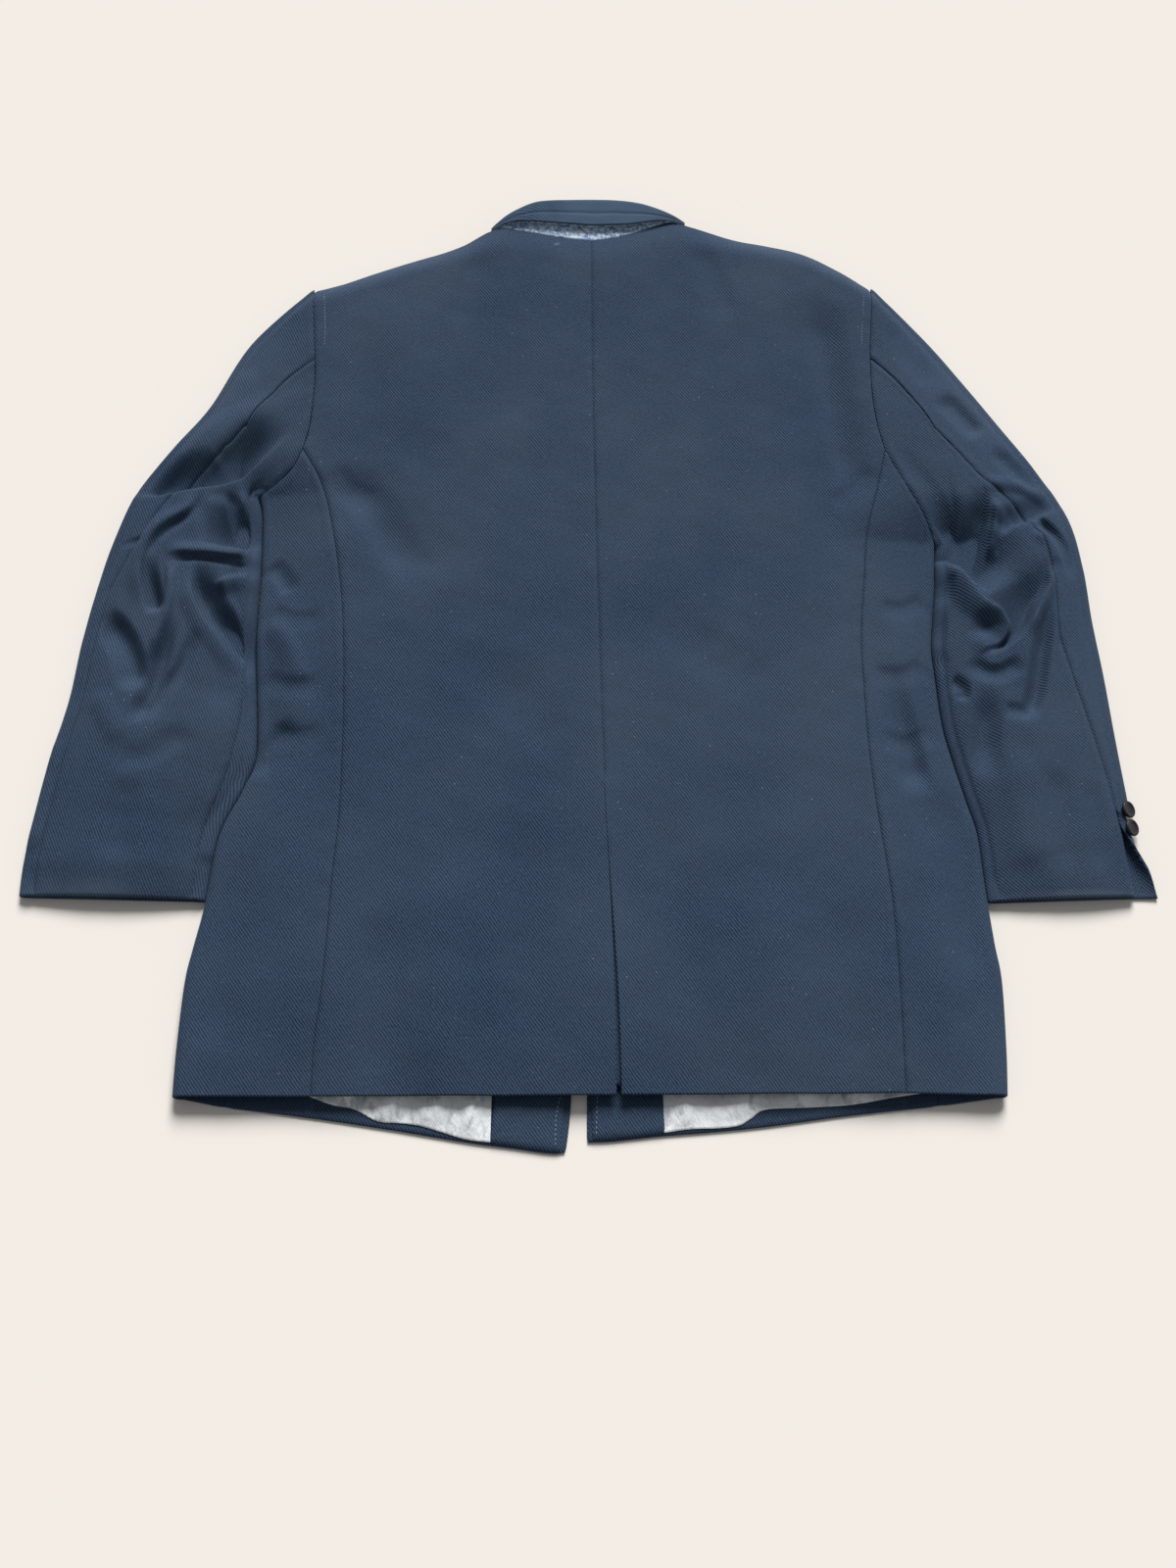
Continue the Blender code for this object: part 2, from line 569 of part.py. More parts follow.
class SideLines:
    """The shared seam lines of one side of the garment, read at their shared corners."""

    def __init__(self, side):
        self.side = side
        self.side_seam = PlanLine(SIDE_SEAM[side]).read(SEAM_SHARES)
        self.armhole = PlanLine(ARMHOLE[side]).read(ARMHOLE_SHARES)
        underarm = PlanLine(UNDERARM[side])
        self.underarm_shares = [0.0, 0.3, 0.6, 1.0 - TURN / underarm.length, 1.0]
        self.underarm = underarm.read(self.underarm_shares)
        corners = [self.armhole[0], self.armhole[LOWER_ARMHOLE_CORNER], self.armhole[-2]]
        self.lower_armhole = []
        for share in ARMHOLE_SHARES[:-1]:
            middle = ARMHOLE_SHARES[LOWER_ARMHOLE_CORNER]
            if share <= middle:
                self.lower_armhole.append(corners[0].lerp(corners[1], share / middle))
            else:
                rest = (share - middle) / (ARMHOLE_SHARES[-2] - middle)
                self.lower_armhole.append(corners[1].lerp(corners[2], rest))
        self.lower_armhole.append(self.armhole[-1])
        self.front_seam = PlanLine(FRONT_SEAM[side]).read(SEAM_SHARES)
        self.edge = PlanLine(BODY_EDGE[side]).read(SEAM_SHARES)
        inset = [(x - OUTWARD[side] * TURN, y) for x, y in BODY_EDGE[side][:-1]]
        inset.append(tuple(self.underarm[-2]))
        self.edge_inset = PlanLine(inset).read(SEAM_SHARES)
        seam_length = self.side_seam[-1].y - self.side_seam[0].y
        whole = self.armhole[-1].y - self.side_seam[0].y
        self.junction = seam_length / whole
        upper = [blend(self.junction, 1.0, share) for share in ARMHOLE_SHARES[1:]]
        self.row_shares = [self.junction * share for share in SEAM_SHARES] + upper


def make_back(shop, lines, wool):
    """One back panel, from the centre seam to the side seam and armhole."""
    side = lines.side
    centre = PlanLine(CENTRE_SEAM).read(lines.row_shares)
    for point in centre:
        opening = ease((VENT_TOP_Y - point.y) / (VENT_TOP_Y - CENTRE_SEAM[0][1]))
        point.x += OUTWARD[side] * 0.5 * VENT_GAP_AT_HEM * opening
    outside = lines.side_seam + lines.armhole[1:]
    top = PlanLine(TOP_LINE[side]).read(BACK_SHARES)
    hem = [centre[0].lerp(outside[0], share) for share in BACK_SHARES]
    plan = patch(hem, top, centre, outside, BACK_SHARES, lines.row_shares)
    outer, inner = grid_of(plan, back_height)
    borders = ("first column", "last column", "last row")
    shop.wall("back_" + side, part_seams(outer, borders), part_seams(inner, borders), wool)


def make_vent_underlap(shop, wool):
    """The strip that lies under the vent's two edges."""
    below_back = WOOL + 2.0 * STACK
    vent = PlanLine(CENTRE_SEAM)
    plan = []
    for step in range(11):
        foot = vent.at(blend(0.010, 0.345, step / 10))
        plan.append([Vector((foot.x + shift, foot.y)) for shift in (-0.010, 0.006, 0.022, 0.038)])
    outer, inner = grid_of(plan, lambda place: back_height(place) - below_back)
    shop.wall("vent_underlap", outer, inner, wool)


def make_side(shop, lines, wool):
    """One side panel, folded round the body's edge."""
    side = lines.side
    seam = lines.side_seam
    edge = lines.edge_inset
    front = lines.front_seam
    columns = lines.underarm_shares[:4]
    across = [share / columns[-1] for share in columns]
    hem = [seam[0].lerp(edge[0], share) for share in across]
    top = [point.copy() for point in lines.underarm[:4]]
    upper_plan = patch(hem, top, seam, edge, across, SEAM_SHARES)
    upper_outer, upper_inner = grid_of(upper_plan, back_height)

    lower_hem = [front[0].lerp(edge[0], share) for share in SIDE_LOWER_SHARES]
    lower_top = [lines.underarm[0].lerp(lines.underarm[3], share) for share in SIDE_LOWER_SHARES]
    lower_plan = patch(lower_hem, lower_top, edge, front, [1.0 - s for s in SIDE_LOWER_SHARES],
                       SEAM_SHARES)
    lower_outer = [[Vector((*p, under_lift(p.y))) for p in row] for row in lower_plan]
    lower_inner = [[Vector((*p, under_lift(p.y) + WOOL)) for p in row] for row in lower_plan]

    high = [row[-1].z for row in upper_outer]
    low = [row[0].z for row in lower_outer]
    reaches = [(end - start).length for start, end in zip(edge, lines.edge)]
    ways = [(end - start).normalized() for start, end in zip(edge, lines.edge)]
    turn_outer, turn_inner = turn_columns(edge, reaches, ways, high, low, WOOL)
    borders = ("first column", "last column", "last row")
    outer = part_seams(join_columns(upper_outer, turn_outer, lower_outer), borders)
    inner = part_seams(join_columns(upper_inner, turn_inner, lower_inner), borders)
    shop.wall("side_" + side, outer, inner, wool)


def front_plan(lines):
    side = lines.side
    opening = PlanLine(FRONT_EDGE[side]).read(lines.row_shares)
    outside = lines.front_seam + lines.lower_armhole[1:]
    hem = PlanLine(FRONT_HEM[side]).read(FRONT_SHARES)
    shoulder = PlanLine(FRONT_SHOULDER[side]).read(FRONT_SHARES)
    return patch(hem, shoulder, opening, outside, FRONT_SHARES, lines.row_shares)


def make_front(shop, lines, wool):
    """One front panel, face down, its inside up."""
    plan = front_plan(lines)
    outer = [[Vector((*p, under_lift(p.y))) for p in row] for row in plan]
    inner = [[Vector((*p, under_lift(p.y) + WOOL)) for p in row] for row in plan]
    borders = ("last column", "last row")
    shop.wall("front_" + lines.side, part_seams(outer, borders), part_seams(inner, borders), wool)


# The facing and lining show only where the fronts reach past the back's hem
FACING_SHARES = [0.015, 0.11, 0.215]
FACING_TOP_Y = -0.3400
LINING_FOOT = {
    LEFT: [(-0.0735, -0.4180), (-0.0870, -0.4140), (-0.1080, -0.4085), (-0.1350, -0.4020),
           (-0.1630, -0.3930), (-0.1960, -0.3840)],
    RIGHT: [(0.0575, -0.4095), (0.1000, -0.4055), (0.1450, -0.3965), (0.1850, -0.3900),
            (0.2150, -0.3850), (0.2440, -0.3820)],
}
LINING_HEAD = {LEFT: [(-0.0710, -0.3400), (-0.1960, -0.3400)],
               RIGHT: [(0.0560, -0.3400), (0.2440, -0.3400)]}
LINING_SHARES = [step / 12 for step in range(13)]
LINING_ROWS = [0.0, 0.2, 0.45, 0.7, 1.0]
RUCK_HEIGHT = 0.0022
RUCK_COUNT = 3.5


def make_facing(shop, lines, wool):
    """The turned-in strip along the front's opening, made from the front's own points."""
    side = lines.side
    hem = PlanLine(FRONT_HEM[side])
    opening = PlanLine(FRONT_EDGE[side])
    width = hem.at(FACING_SHARES[-1]).x - hem.at(FACING_SHARES[0]).x
    plan = []
    for step in range(4):
        share = step / 3
        line = []
        for column, shift in enumerate(FACING_SHARES):
            foot = hem.at(shift)
            foot.y += 0.0015
            head_x = opening.at(0.10).x + OUTWARD[side] * 0.0015 + width * column / 2
            head = Vector((head_x, FACING_TOP_Y))
            line.append(foot.lerp(head, share))
        plan.append(line)
    floor = WOOL + STACK
    outer = [[Vector((*p, floor + WOOL)) for p in row] for row in plan]
    inner = [[Vector((*p, floor)) for p in row] for row in plan]
    shop.wall("facing_" + side, outer, inner, wool)


def make_lining(shop, lines, satin):
    """The lining's end, rucked where it is caught to the hem."""
    side = lines.side
    foot = PlanLine(LINING_FOOT[side]).read(LINING_SHARES)
    head = PlanLine(LINING_HEAD[side]).read(LINING_SHARES)
    left = [foot[0].lerp(head[0], row) for row in LINING_ROWS]
    right = [foot[-1].lerp(head[-1], row) for row in LINING_ROWS]
    plan = patch(foot, head, left, right, LINING_SHARES, LINING_ROWS)
    floor = WOOL + STACK
    outer = []
    inner = []
    for row, line in zip(LINING_ROWS, plan):
        heights = []
        for share in LINING_SHARES:
            wave = 0.5 - 0.5 * math.cos(2.0 * math.pi * RUCK_COUNT * share + 2.0 * row)
            middle = rise(4.0 * row) * rise(6.0 * share) * rise(6.0 * (1.0 - share))
            heights.append(floor + RUCK_HEIGHT * wave * middle)
        outer.append([Vector((*p, h + SATIN)) for p, h in zip(line, heights)])
        inner.append([Vector((*p, h)) for p, h in zip(line, heights)])
    shop.wall("lining_" + side, outer, inner, satin)


class Sleeve:
    """The plan and heights of one sleeve, as two sheets joined by rounded edges."""

    ARMHOLE_BLEND = 0.045
    FOLD_START = 0.030
    ARMPIT_SWING = 0.0450
    HOOK_START = 0.060
    HOOK = {LEFT: 0.110, RIGHT: 0.140}
    VENT_START = 0.885

    def __init__(self, lines):
        self.side = lines.side
        self.lines = lines
        table = SLEEVE_ROWS[self.side]
        border = list(reversed(lines.armhole)) + lines.underarm[1:]
        border = inset_points(border, OUTWARD[self.side] * SEAM)
        top = border[0]
        pit = border[-1]
        self.arm_points = border[1:-1]
        self.armhole_way = (pit - border[-2]).normalized()
        self.arm_line = PlanLine([tuple(point) for point in self.arm_points], smooth=False)
        outer_ends = [top] + [Vector(row.outer) for row in table]
        inner_ends = [pit] + [Vector(row.inner) for row in table]
        inset = -OUTWARD[self.side] * TURN
        inset_outer = [self.arm_points[0]] + inset_points(outer_ends, inset)[1:]
        self.row_places, self.length = self.places_of_rows(outer_ends, inner_ends)
        self.outer_end = PlacedLine(outer_ends, self.row_places)
        self.inner_end = PlacedLine(inner_ends, self.row_places)
        self.outer_sheet = PlacedLine(inset_outer, self.row_places)
        self.rows = [0.0, 0.015, 0.030] + [step / SLEEVE_ROW_COUNT
                                           for step in range(1, SLEEVE_ROW_COUNT + 1)]
        hind_index = ARMHOLE_SHARES[::-1].index(0.52) - 1
        lengths = self.arm_line.lengths
        self.arm_shares = [length / lengths[-1] for length in lengths]
        self.hind_start = self.arm_shares[hind_index]
        self.top_columns = [share / self.hind_start for share in self.arm_shares[:hind_index + 1]]
        corner_index = len(ARMHOLE_SHARES) - 2 - LOWER_ARMHOLE_CORNER
        junction_index = len(ARMHOLE_SHARES) - 2
        self.lower_columns = [1.0, self.arm_shares[junction_index],
                              self.arm_shares[corner_index], 0.0]
        under = self.arm_shares[hind_index:]
        self.under_columns = [(share - self.hind_start) / (1.0 - self.hind_start)
                              for share in under]

    @staticmethod
    def places_of_rows(outer_ends, inner_ends):
        """Share of the sleeve's length at which each row of the table lies, and that length."""
        middles = [0.5 * (first + last) for first, last in zip(outer_ends, inner_ends)]
        places = [0.0]
        for before, here in zip(middles, middles[1:]):
            places.append(places[-1] + (here - before).length)
        return [place / places[-1] for place in places], places[-1]

    def column_value(self, name, along, start):
        rows = [start] + [getattr(row, name) for row in SLEEVE_ROWS[self.side]]
        return value_at(list(zip(self.row_places, rows)), along)

    def hind_seam(self, along):
        return self.column_value("hind_seam", along, self.hind_start)

    def fore_seam(self, along):
        return self.column_value("fore_seam", along, 0.985)

    def inner_turn_at(self, along):
        """Which way the inner edge's turn reaches in plan. It swings round at the armpit."""
        before = self.inner_end.at(max(along - 0.02, 0.0))
        after = self.inner_end.at(min(along + 0.02, 1.0))
        first = math.atan2(self.armhole_way.y, self.armhole_way.x)
        last = math.atan2(before.x - after.x, after.y - before.y)
        if self.side == LEFT:
            last = math.atan2(after.x - before.x, before.y - after.y)
            turn = (last - first) % (2.0 * math.pi)
        else:
            turn = -((first - last) % (2.0 * math.pi))
        angle = first + turn * min(along / self.ARMPIT_SWING, 1.0)
        return Vector((math.cos(angle), math.sin(angle)))

    def inner_sheet_at(self, along):
        return self.inner_end.at(along) - self.inner_turn_at(along) * TURN

    def plan_at(self, across, along):
        """A place on the sheets: across runs from the outer edge to the inner one."""
        straight = self.outer_sheet.at(along).lerp(self.inner_sheet_at(along), across)
        chord = self.arm_points[0].lerp(self.arm_points[-1], across)
        bend = self.arm_line.at(across) - chord
        hook = ease(along / self.HOOK_START) * (1.0 - ease((along - 0.30) / 0.25))
        hook *= self.HOOK[self.side] * across ** 4 * (1.0 - across)
        straight.x += OUTWARD[self.side] * hook
        return straight + bend * max(1.0 - along / BEND_REACH, 0.0) ** 2

    def low_at(self, along, place):
        """Height of the lower sheet's underside."""
        lift = under_lift(place.y) * (1.0 - ease(along / 0.12))
        if self.side == LEFT:
            near = min((along - 0.74) / 0.03, (0.94 - along) / 0.03)
            lift = max(lift, (BUTTON_THICKNESS + STACK) * min(max(near, 0.0), 1.0))
        return lift

    def height_at(self, across, along, place):
        """Height of the upper sheet's outer face."""
        crown = self.column_value("crown", along, SHOULDER_HEIGHT)
        arch = math.sin(math.pi * min(max(across, 0.0), 1.0)) ** 0.6
        edge = 0.52 * crown
        own = blend(edge, crown, arch)
        start = back_height(self.arm_line.at(across))
        height = blend(start, own, ease(along * self.length / self.ARMHOLE_BLEND))
        settled = ease(along * self.length / self.FOLD_START)
        for fold in SLEEVE_FOLD_LINES[self.side]:
            height += fold.at(place) * settled
        least = self.low_at(along, place) + 2.0 * WOOL + LEAST_HOLLOW
        return max(height, least)

    def upper_sheet(self, shares_at):
        """Both faces of part of the upper sheet. shares_at gives each row's places across."""
        outer = []
        inner = []
        for along in self.rows:
            outer_row = []
            inner_row = []
            for across in shares_at(along):
                place = self.plan_at(across, along)
                height = self.height_at(across, along, place)
                outer_row.append(Vector((*place, height)))
                inner_row.append(Vector((*place, height - WOOL)))
            outer.append(outer_row)
            inner.append(inner_row)
        return outer, inner

    def lower_sheet(self):
        outer = []
        inner = []
        for along in self.rows:
            places = [self.plan_at(across, along) for across in self.lower_columns]
            outer.append([Vector((*p, self.low_at(along, p))) for p in places])
            inner.append([Vector((*p, self.low_at(along, p) + WOOL)) for p in places])
        return outer, inner

    def inner_turn(self, upper, lower):
        sheet = [self.inner_sheet_at(along) for along in self.rows]
        reaches = [TURN for along in self.rows]
        ways = [self.inner_turn_at(along) for along in self.rows]
        high = [row[-1].z for row in upper]
        low = [row[0].z for row in lower]
        return turn_columns(sheet, reaches, ways, high, low, WOOL)

    def outer_turn(self, upper, lower):
        sheet = [self.outer_sheet.at(along) for along in self.rows]
        ends = [self.outer_end.at(along) for along in self.rows]
        reaches = [(end - edge).length for edge, end in zip(sheet, ends)]
        ways = [(end - edge).normalized() for edge, end in zip(sheet, ends)]
        high = [row[0].z for row in upper]
        low = [row[-1].z for row in lower]
        return turn_columns(sheet, reaches, ways, high, low, WOOL)


def unroll_vent(outer, inner, sleeve):
    """Open the right cuff: the top sleeve's free edge unrolls beside the under sleeve."""
    flap_columns = TURN_STEPS + len(sleeve.top_columns)
    for row, along in enumerate(sleeve.rows):
        open_share = ease((along - sleeve.VENT_START) / (1.0 - sleeve.VENT_START))
        if open_share <= 0.0:
            continue
        first = len(outer[row]) - flap_columns
        root = outer[row][first]
        radius = 0.5 * (outer[row][first + TURN_STEPS].z - root.z)
        strip = (outer[row][-1] - outer[row][first + TURN_STEPS]).length
        length = math.pi * radius + strip
        bend = max(1.0 - open_share, 0.02) / radius
        for column in range(first + 1, len(outer[row])):
            angle = bend * length * (column - first) / (flap_columns - 1)
            point = root + Vector((math.sin(angle), 0.0, 1.0 - math.cos(angle))) / bend
            outer[row][column] = point
            inner[row][column] = point + Vector((-math.sin(angle), 0.0, math.cos(angle))) * WOOL


def make_sleeve(shop, lines, wool):
    sleeve = Sleeve(lines)
    side = lines.side

    def under_shares(along):
        hind = sleeve.hind_seam(along)
        fore = sleeve.fore_seam(along)
        return [blend(hind, fore, share) for share in sleeve.under_columns]

    under_outer, under_inner = sleeve.upper_sheet(under_shares)
    borders = ("first column", "last column")
    shop.wall("undersleeve_" + side, part_seams(under_outer, borders),
              part_seams(under_inner, borders), wool)

    inner_strip = sleeve.upper_sheet(lambda along: [sleeve.fore_seam(along), 1.0])
    outer_strip = sleeve.upper_sheet(
        lambda along: [sleeve.hind_seam(along) * share for share in sleeve.top_columns])
    lower = sleeve.lower_sheet()
    inner_turn = sleeve.inner_turn(inner_strip[0], lower[0])
    outer_turn = sleeve.outer_turn(outer_strip[0], lower[0])
    faces = []
    for face in (0, 1):
        back_round = [list(reversed(row)) for row in outer_turn[face]]
        faces.append(join_columns(inner_strip[face], inner_turn[face], lower[face], back_round,
                                  outer_strip[face]))
    outer, inner = faces
    if side == RIGHT:
        unroll_vent(outer, inner, sleeve)
    shop.wall("topsleeve_" + side, part_seams(outer, borders), part_seams(inner, borders), wool)


# The collar: one row for each cross section, from photo left to right
CollarRow = namedtuple("CollarRow", "x neck fold fall")
COLLAR_ROWS = [
    CollarRow(-0.0860, 0.3948, 0.4010, 0.3945),
    CollarRow(-0.0810, 0.3962, 0.4040, 0.3968),
    CollarRow(-0.0720, 0.3962, 0.4090, 0.3992),
    CollarRow(-0.0610, 0.3931, 0.4155, 0.4000),
    CollarRow(-0.0480, 0.3906, 0.4218, 0.3996),
    CollarRow(-0.0350, 0.3880, 0.4240, 0.3986),
    CollarRow(-0.0160, 0.3845, 0.4245, 0.3969),
    CollarRow(0.0030, 0.3822, 0.4247, 0.3952),
    CollarRow(0.0210, 0.3850, 0.4243, 0.3957),
    CollarRow(0.0350, 0.3886, 0.4229, 0.3963),
    CollarRow(0.0470, 0.3932, 0.4205, 0.3981),
    CollarRow(0.0570, 0.3974, 0.4170, 0.3996),
    CollarRow(0.0680, 0.4012, 0.4125, 0.4012),
    CollarRow(0.0780, 0.4020, 0.4095, 0.4014),
    CollarRow(0.0860, 0.4002, 0.4070, 0.4004),
]
COLLAR_HOLLOW = 0.0010
COLLAR_LIFT = 0.0010
FOLD_STEPS = 5


def collar_section(row, radius, arm_shares=(0.0, 0.5, 1.0)):
    """Points along a folded sheet, from the neck seam round the fold to the fall's edge."""
    middle = top_edge_height(row.x) + COLLAR_LIFT
    round_start = row.fold - radius
    points = []
    for share in arm_shares:
        points.append(Vector((row.x, blend(row.neck, round_start, share), middle - radius)))
    for step in range(1, FOLD_STEPS):
        angle = math.pi * step / FOLD_STEPS
        points.append(Vector((row.x, round_start + radius * math.sin(angle),
                              middle - radius * math.cos(angle))))
    for share in arm_shares:
        points.append(Vector((row.x, blend(round_start, row.fall, share), middle + radius)))
    return points


def make_collar(shop, wool, felt):
    """The collar cloth outside, and the felt undercollar inside the same fold."""
    felt_inner = COLLAR_HOLLOW
    felt_outer = felt_inner + FELT
    cloth_inner = felt_outer + STACK
    cloth_outer = cloth_inner + 0.9 * WOOL
    layers = {"undercollar": (felt_outer, felt_inner, felt),
              "collar": (cloth_outer, cloth_inner, wool)}
    for name, (outer_radius, inner_radius, material) in layers.items():
        shrink = cloth_outer - outer_radius
        outer = []
        inner = []
        for row in COLLAR_ROWS:
            neck = row.neck + 2.0 * STACK
            outer_row = row._replace(neck=neck, fold=row.fold - shrink)
            inner_row = outer_row._replace(fold=outer_row.fold - (outer_radius - inner_radius))
            outer.append(collar_section(outer_row, outer_radius))
            inner.append(collar_section(inner_row, inner_radius))
        shop.wall(name, outer, inner, material)


# Outlines of what lies hidden under the fronts, for the photo-right side
LAPEL_OUTLINE = [(0.0040, -0.0150), (0.0320, 0.0600), (0.0790, 0.1500), (0.1180, 0.2350),
                 (0.0900, 0.2560), (0.0670, 0.2740)]
COLLAR_END_OUTLINE = [(0.0672, 0.2760), (0.0890, 0.2590), (0.1120, 0.2880), (0.1230, 0.3500),
                      (0.0960, 0.3840), (0.0905, 0.3840)]
UNDER_THICKNESS = UNDER_LIFT - STACK


def make_lapels(shop, wool):
    """Lapels and collar ends, folded out flat under the fronts."""
    shifts = {LEFT: -0.0100, RIGHT: 0.0}
    for side, shift in shifts.items():
        for name, outline in (("lapel_", LAPEL_OUTLINE), ("collar_end_", COLLAR_END_OUTLINE)):
            points = [(OUTWARD[side] * x + shift * rise((0.20 - y) / 0.22), y)
                      for x, y in outline]
            shop.plate(name + side, points, 0.0, UNDER_THICKNESS, wool)


FRONT_BUTTONS = {"front_button_upper": (0.0200, -0.0400), "front_button_lower": (0.0200, -0.1450)}
CUFF_BUTTONS = {
    "cuff_button_right_upper": ((0.4245, -0.1565, 0.00814), (0.60, 0.0, 0.80)),
    "cuff_button_right_lower": ((0.4255, -0.1722, 0.00905), (0.60, 0.0, 0.80)),
    "cuff_button_left_upper": ((-0.4100, -0.1470, 0.0014), (0.0, 0.0, -1.0)),
    "cuff_button_left_lower": ((-0.4125, -0.1625, 0.0014), (0.0, 0.0, -1.0)),
}


def make_buttons(shop, horn):
    for name, (x, y) in FRONT_BUTTONS.items():
        centre = (x, y, 0.5 * BUTTON_THICKNESS)
        shop.button(name, centre, (0.0, 0.0, -1.0), JACKET_BUTTON_DIAMETER, horn)
    for name, (centre, axis) in CUFF_BUTTONS.items():
        shop.button(name, centre, axis, CUFF_BUTTON_DIAMETER, horn)


def main():
    shop = Workshop()
    wool = shop.material("navy_twill", NAVY, 0.85)
    felt = shop.material("undercollar_felt", FELT_BLUE, 0.95)
    satin = shop.material("silver_lining", SILVER, 0.40)
    horn = shop.material("dark_button", DARK_HORN, 0.35)
    for side in (LEFT, RIGHT):
        lines = SideLines(side)
        make_back(shop, lines, wool)
        make_side(shop, lines, wool)
        make_front(shop, lines, wool)
        make_facing(shop, lines, wool)
        make_lining(shop, lines, satin)
        make_sleeve(shop, lines, wool)
    make_vent_underlap(shop, wool)
    make_collar(shop, wool, felt)
    make_lapels(shop, wool)
    make_buttons(shop, horn)


main()
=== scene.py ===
"""Looks of a navy twill blazer laid flat on its fronts, so that its back shows.

Metres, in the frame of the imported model: +X to the right of the back as seen, +Y from the hem to
the collar, +Z up. Each panel is a thin shell of cloth on the form of its solid: plan lines give its
outline, height functions give how far it lies off the floor, and folds are laid over both.
"""
import math

import bmesh
import bpy
import numpy as np
from mathutils import Matrix, Vector


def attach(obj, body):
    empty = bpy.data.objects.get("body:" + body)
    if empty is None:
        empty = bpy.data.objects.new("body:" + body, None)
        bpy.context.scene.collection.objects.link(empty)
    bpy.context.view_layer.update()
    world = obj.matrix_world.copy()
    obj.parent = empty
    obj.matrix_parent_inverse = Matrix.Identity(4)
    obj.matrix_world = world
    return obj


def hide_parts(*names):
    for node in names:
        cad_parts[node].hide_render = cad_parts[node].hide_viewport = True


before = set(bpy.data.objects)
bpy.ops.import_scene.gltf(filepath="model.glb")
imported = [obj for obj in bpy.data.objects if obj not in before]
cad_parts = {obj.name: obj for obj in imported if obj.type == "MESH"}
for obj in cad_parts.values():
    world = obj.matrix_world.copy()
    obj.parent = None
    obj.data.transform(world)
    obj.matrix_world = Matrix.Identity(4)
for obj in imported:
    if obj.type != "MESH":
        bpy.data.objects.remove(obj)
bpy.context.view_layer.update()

LEFT = "left"
RIGHT = "right"
OUTWARD = {LEFT: -1.0, RIGHT: 1.0}

# Cloth thicknesses and gaps
WOOL = 0.0020
FELT = 0.0015
SATIN = 0.0010
SEAM = 0.00022
CLOSE_SEAM = 0.00006
STACK = 0.0003
SLEEVE_GAP = 0.0004

# Heights of the laid garment
SIDE_EDGE_HEIGHT = 0.0125
SHOULDER_EDGE_HEIGHT = 0.0088
SHOULDER_HEIGHT = 0.0270
NECK_HEIGHT = 0.0225
BODY_LEVELS = [(-0.390, 0.0120), (-0.355, 0.0152), (-0.300, 0.0185), (-0.100, 0.0215),
               (0.120, 0.0250), (0.300, 0.0270)]
UNDER_LIFT = 0.0033
LEAST_HOLLOW = 0.0030
TURN = 0.0080
SHOULDER_ROLL = 0.0280
SIDE_FALL = 0.0850
VENT_TOP_Y = -0.1400
VENT_GAP_AT_HEM = 0.0045
LIFT_START_Y = -0.2300
LIFT_END_Y = -0.1700
BUTTON_THICKNESS = 0.0028

# Plan lines of the body, each from the hem upwards
CENTRE_SEAM = [(0.0230, -0.3850), (0.0210, -0.2995), (0.0130, -0.1355), (0.0080, 0.0345),
               (0.0040, 0.2245), (0.0030, 0.3819)]
SIDE_SEAM = {
    LEFT: [(-0.2050, -0.3860), (-0.2040, -0.3455), (-0.2000, -0.2995), (-0.1970, -0.2215),
           (-0.1940, -0.1645), (-0.1940, -0.1065), (-0.1960, -0.0400), (-0.2000, 0.0165),
           (-0.2080, 0.0715), (-0.2210, 0.1275), (-0.2400, 0.1645)],
    RIGHT: [(0.2350, -0.3835), (0.2350, -0.3105), (0.2340, -0.2535), (0.2310, -0.2105),
            (0.2260, -0.1645), (0.2220, -0.1105), (0.2210, -0.0605), (0.2210, -0.0105),
            (0.2260, 0.0405), (0.2310, 0.0855), (0.2420, 0.1295), (0.2500, 0.1635)],
}
BODY_EDGE = {
    LEFT: [(-0.3080, -0.3860), (-0.3080, -0.3500), (-0.3060, -0.2985), (-0.3020, -0.2715),
           (-0.2960, -0.2385), (-0.2900, -0.1885), (-0.2840, -0.1665), (-0.2740, -0.1445),
           (-0.2640, -0.1155), (-0.2640, -0.0845), (-0.2670, -0.0495), (-0.2700, -0.0055),
           (-0.2700, 0.0505), (-0.2720, 0.1045), (-0.2760, 0.1245)],
    RIGHT: [(0.3110, -0.3850), (0.3130, -0.3500), (0.3140, -0.2965), (0.3110, -0.2655),
            (0.3070, -0.2165), (0.3040, -0.1765), (0.2970, -0.1485), (0.2890, -0.1155),
            (0.2830, -0.0845), (0.2800, -0.0405), (0.2790, -0.0125), (0.2850, 0.0385),
            (0.2880, 0.0795)],
}
ARMHOLE = {
    LEFT: [(-0.2400, 0.1645), (-0.2350, 0.1895), (-0.2335, 0.2265), (-0.2340, 0.2495),
           (-0.2360, 0.2755), (-0.2410, 0.3369)],
    RIGHT: [(0.2500, 0.1635), (0.2450, 0.1875), (0.2425, 0.2115), (0.2420, 0.2365),
            (0.2430, 0.2665), (0.2490, 0.3379)],
}
UNDERARM = {
    LEFT: [(-0.2400, 0.1645), (-0.2470, 0.1485), (-0.2580, 0.1375), (-0.2700, 0.1295),
           (-0.2760, 0.1245)],
    RIGHT: [(0.2500, 0.1635), (0.2590, 0.1435), (0.2690, 0.1225), (0.2800, 0.1015),
            (0.2880, 0.0795)],
}
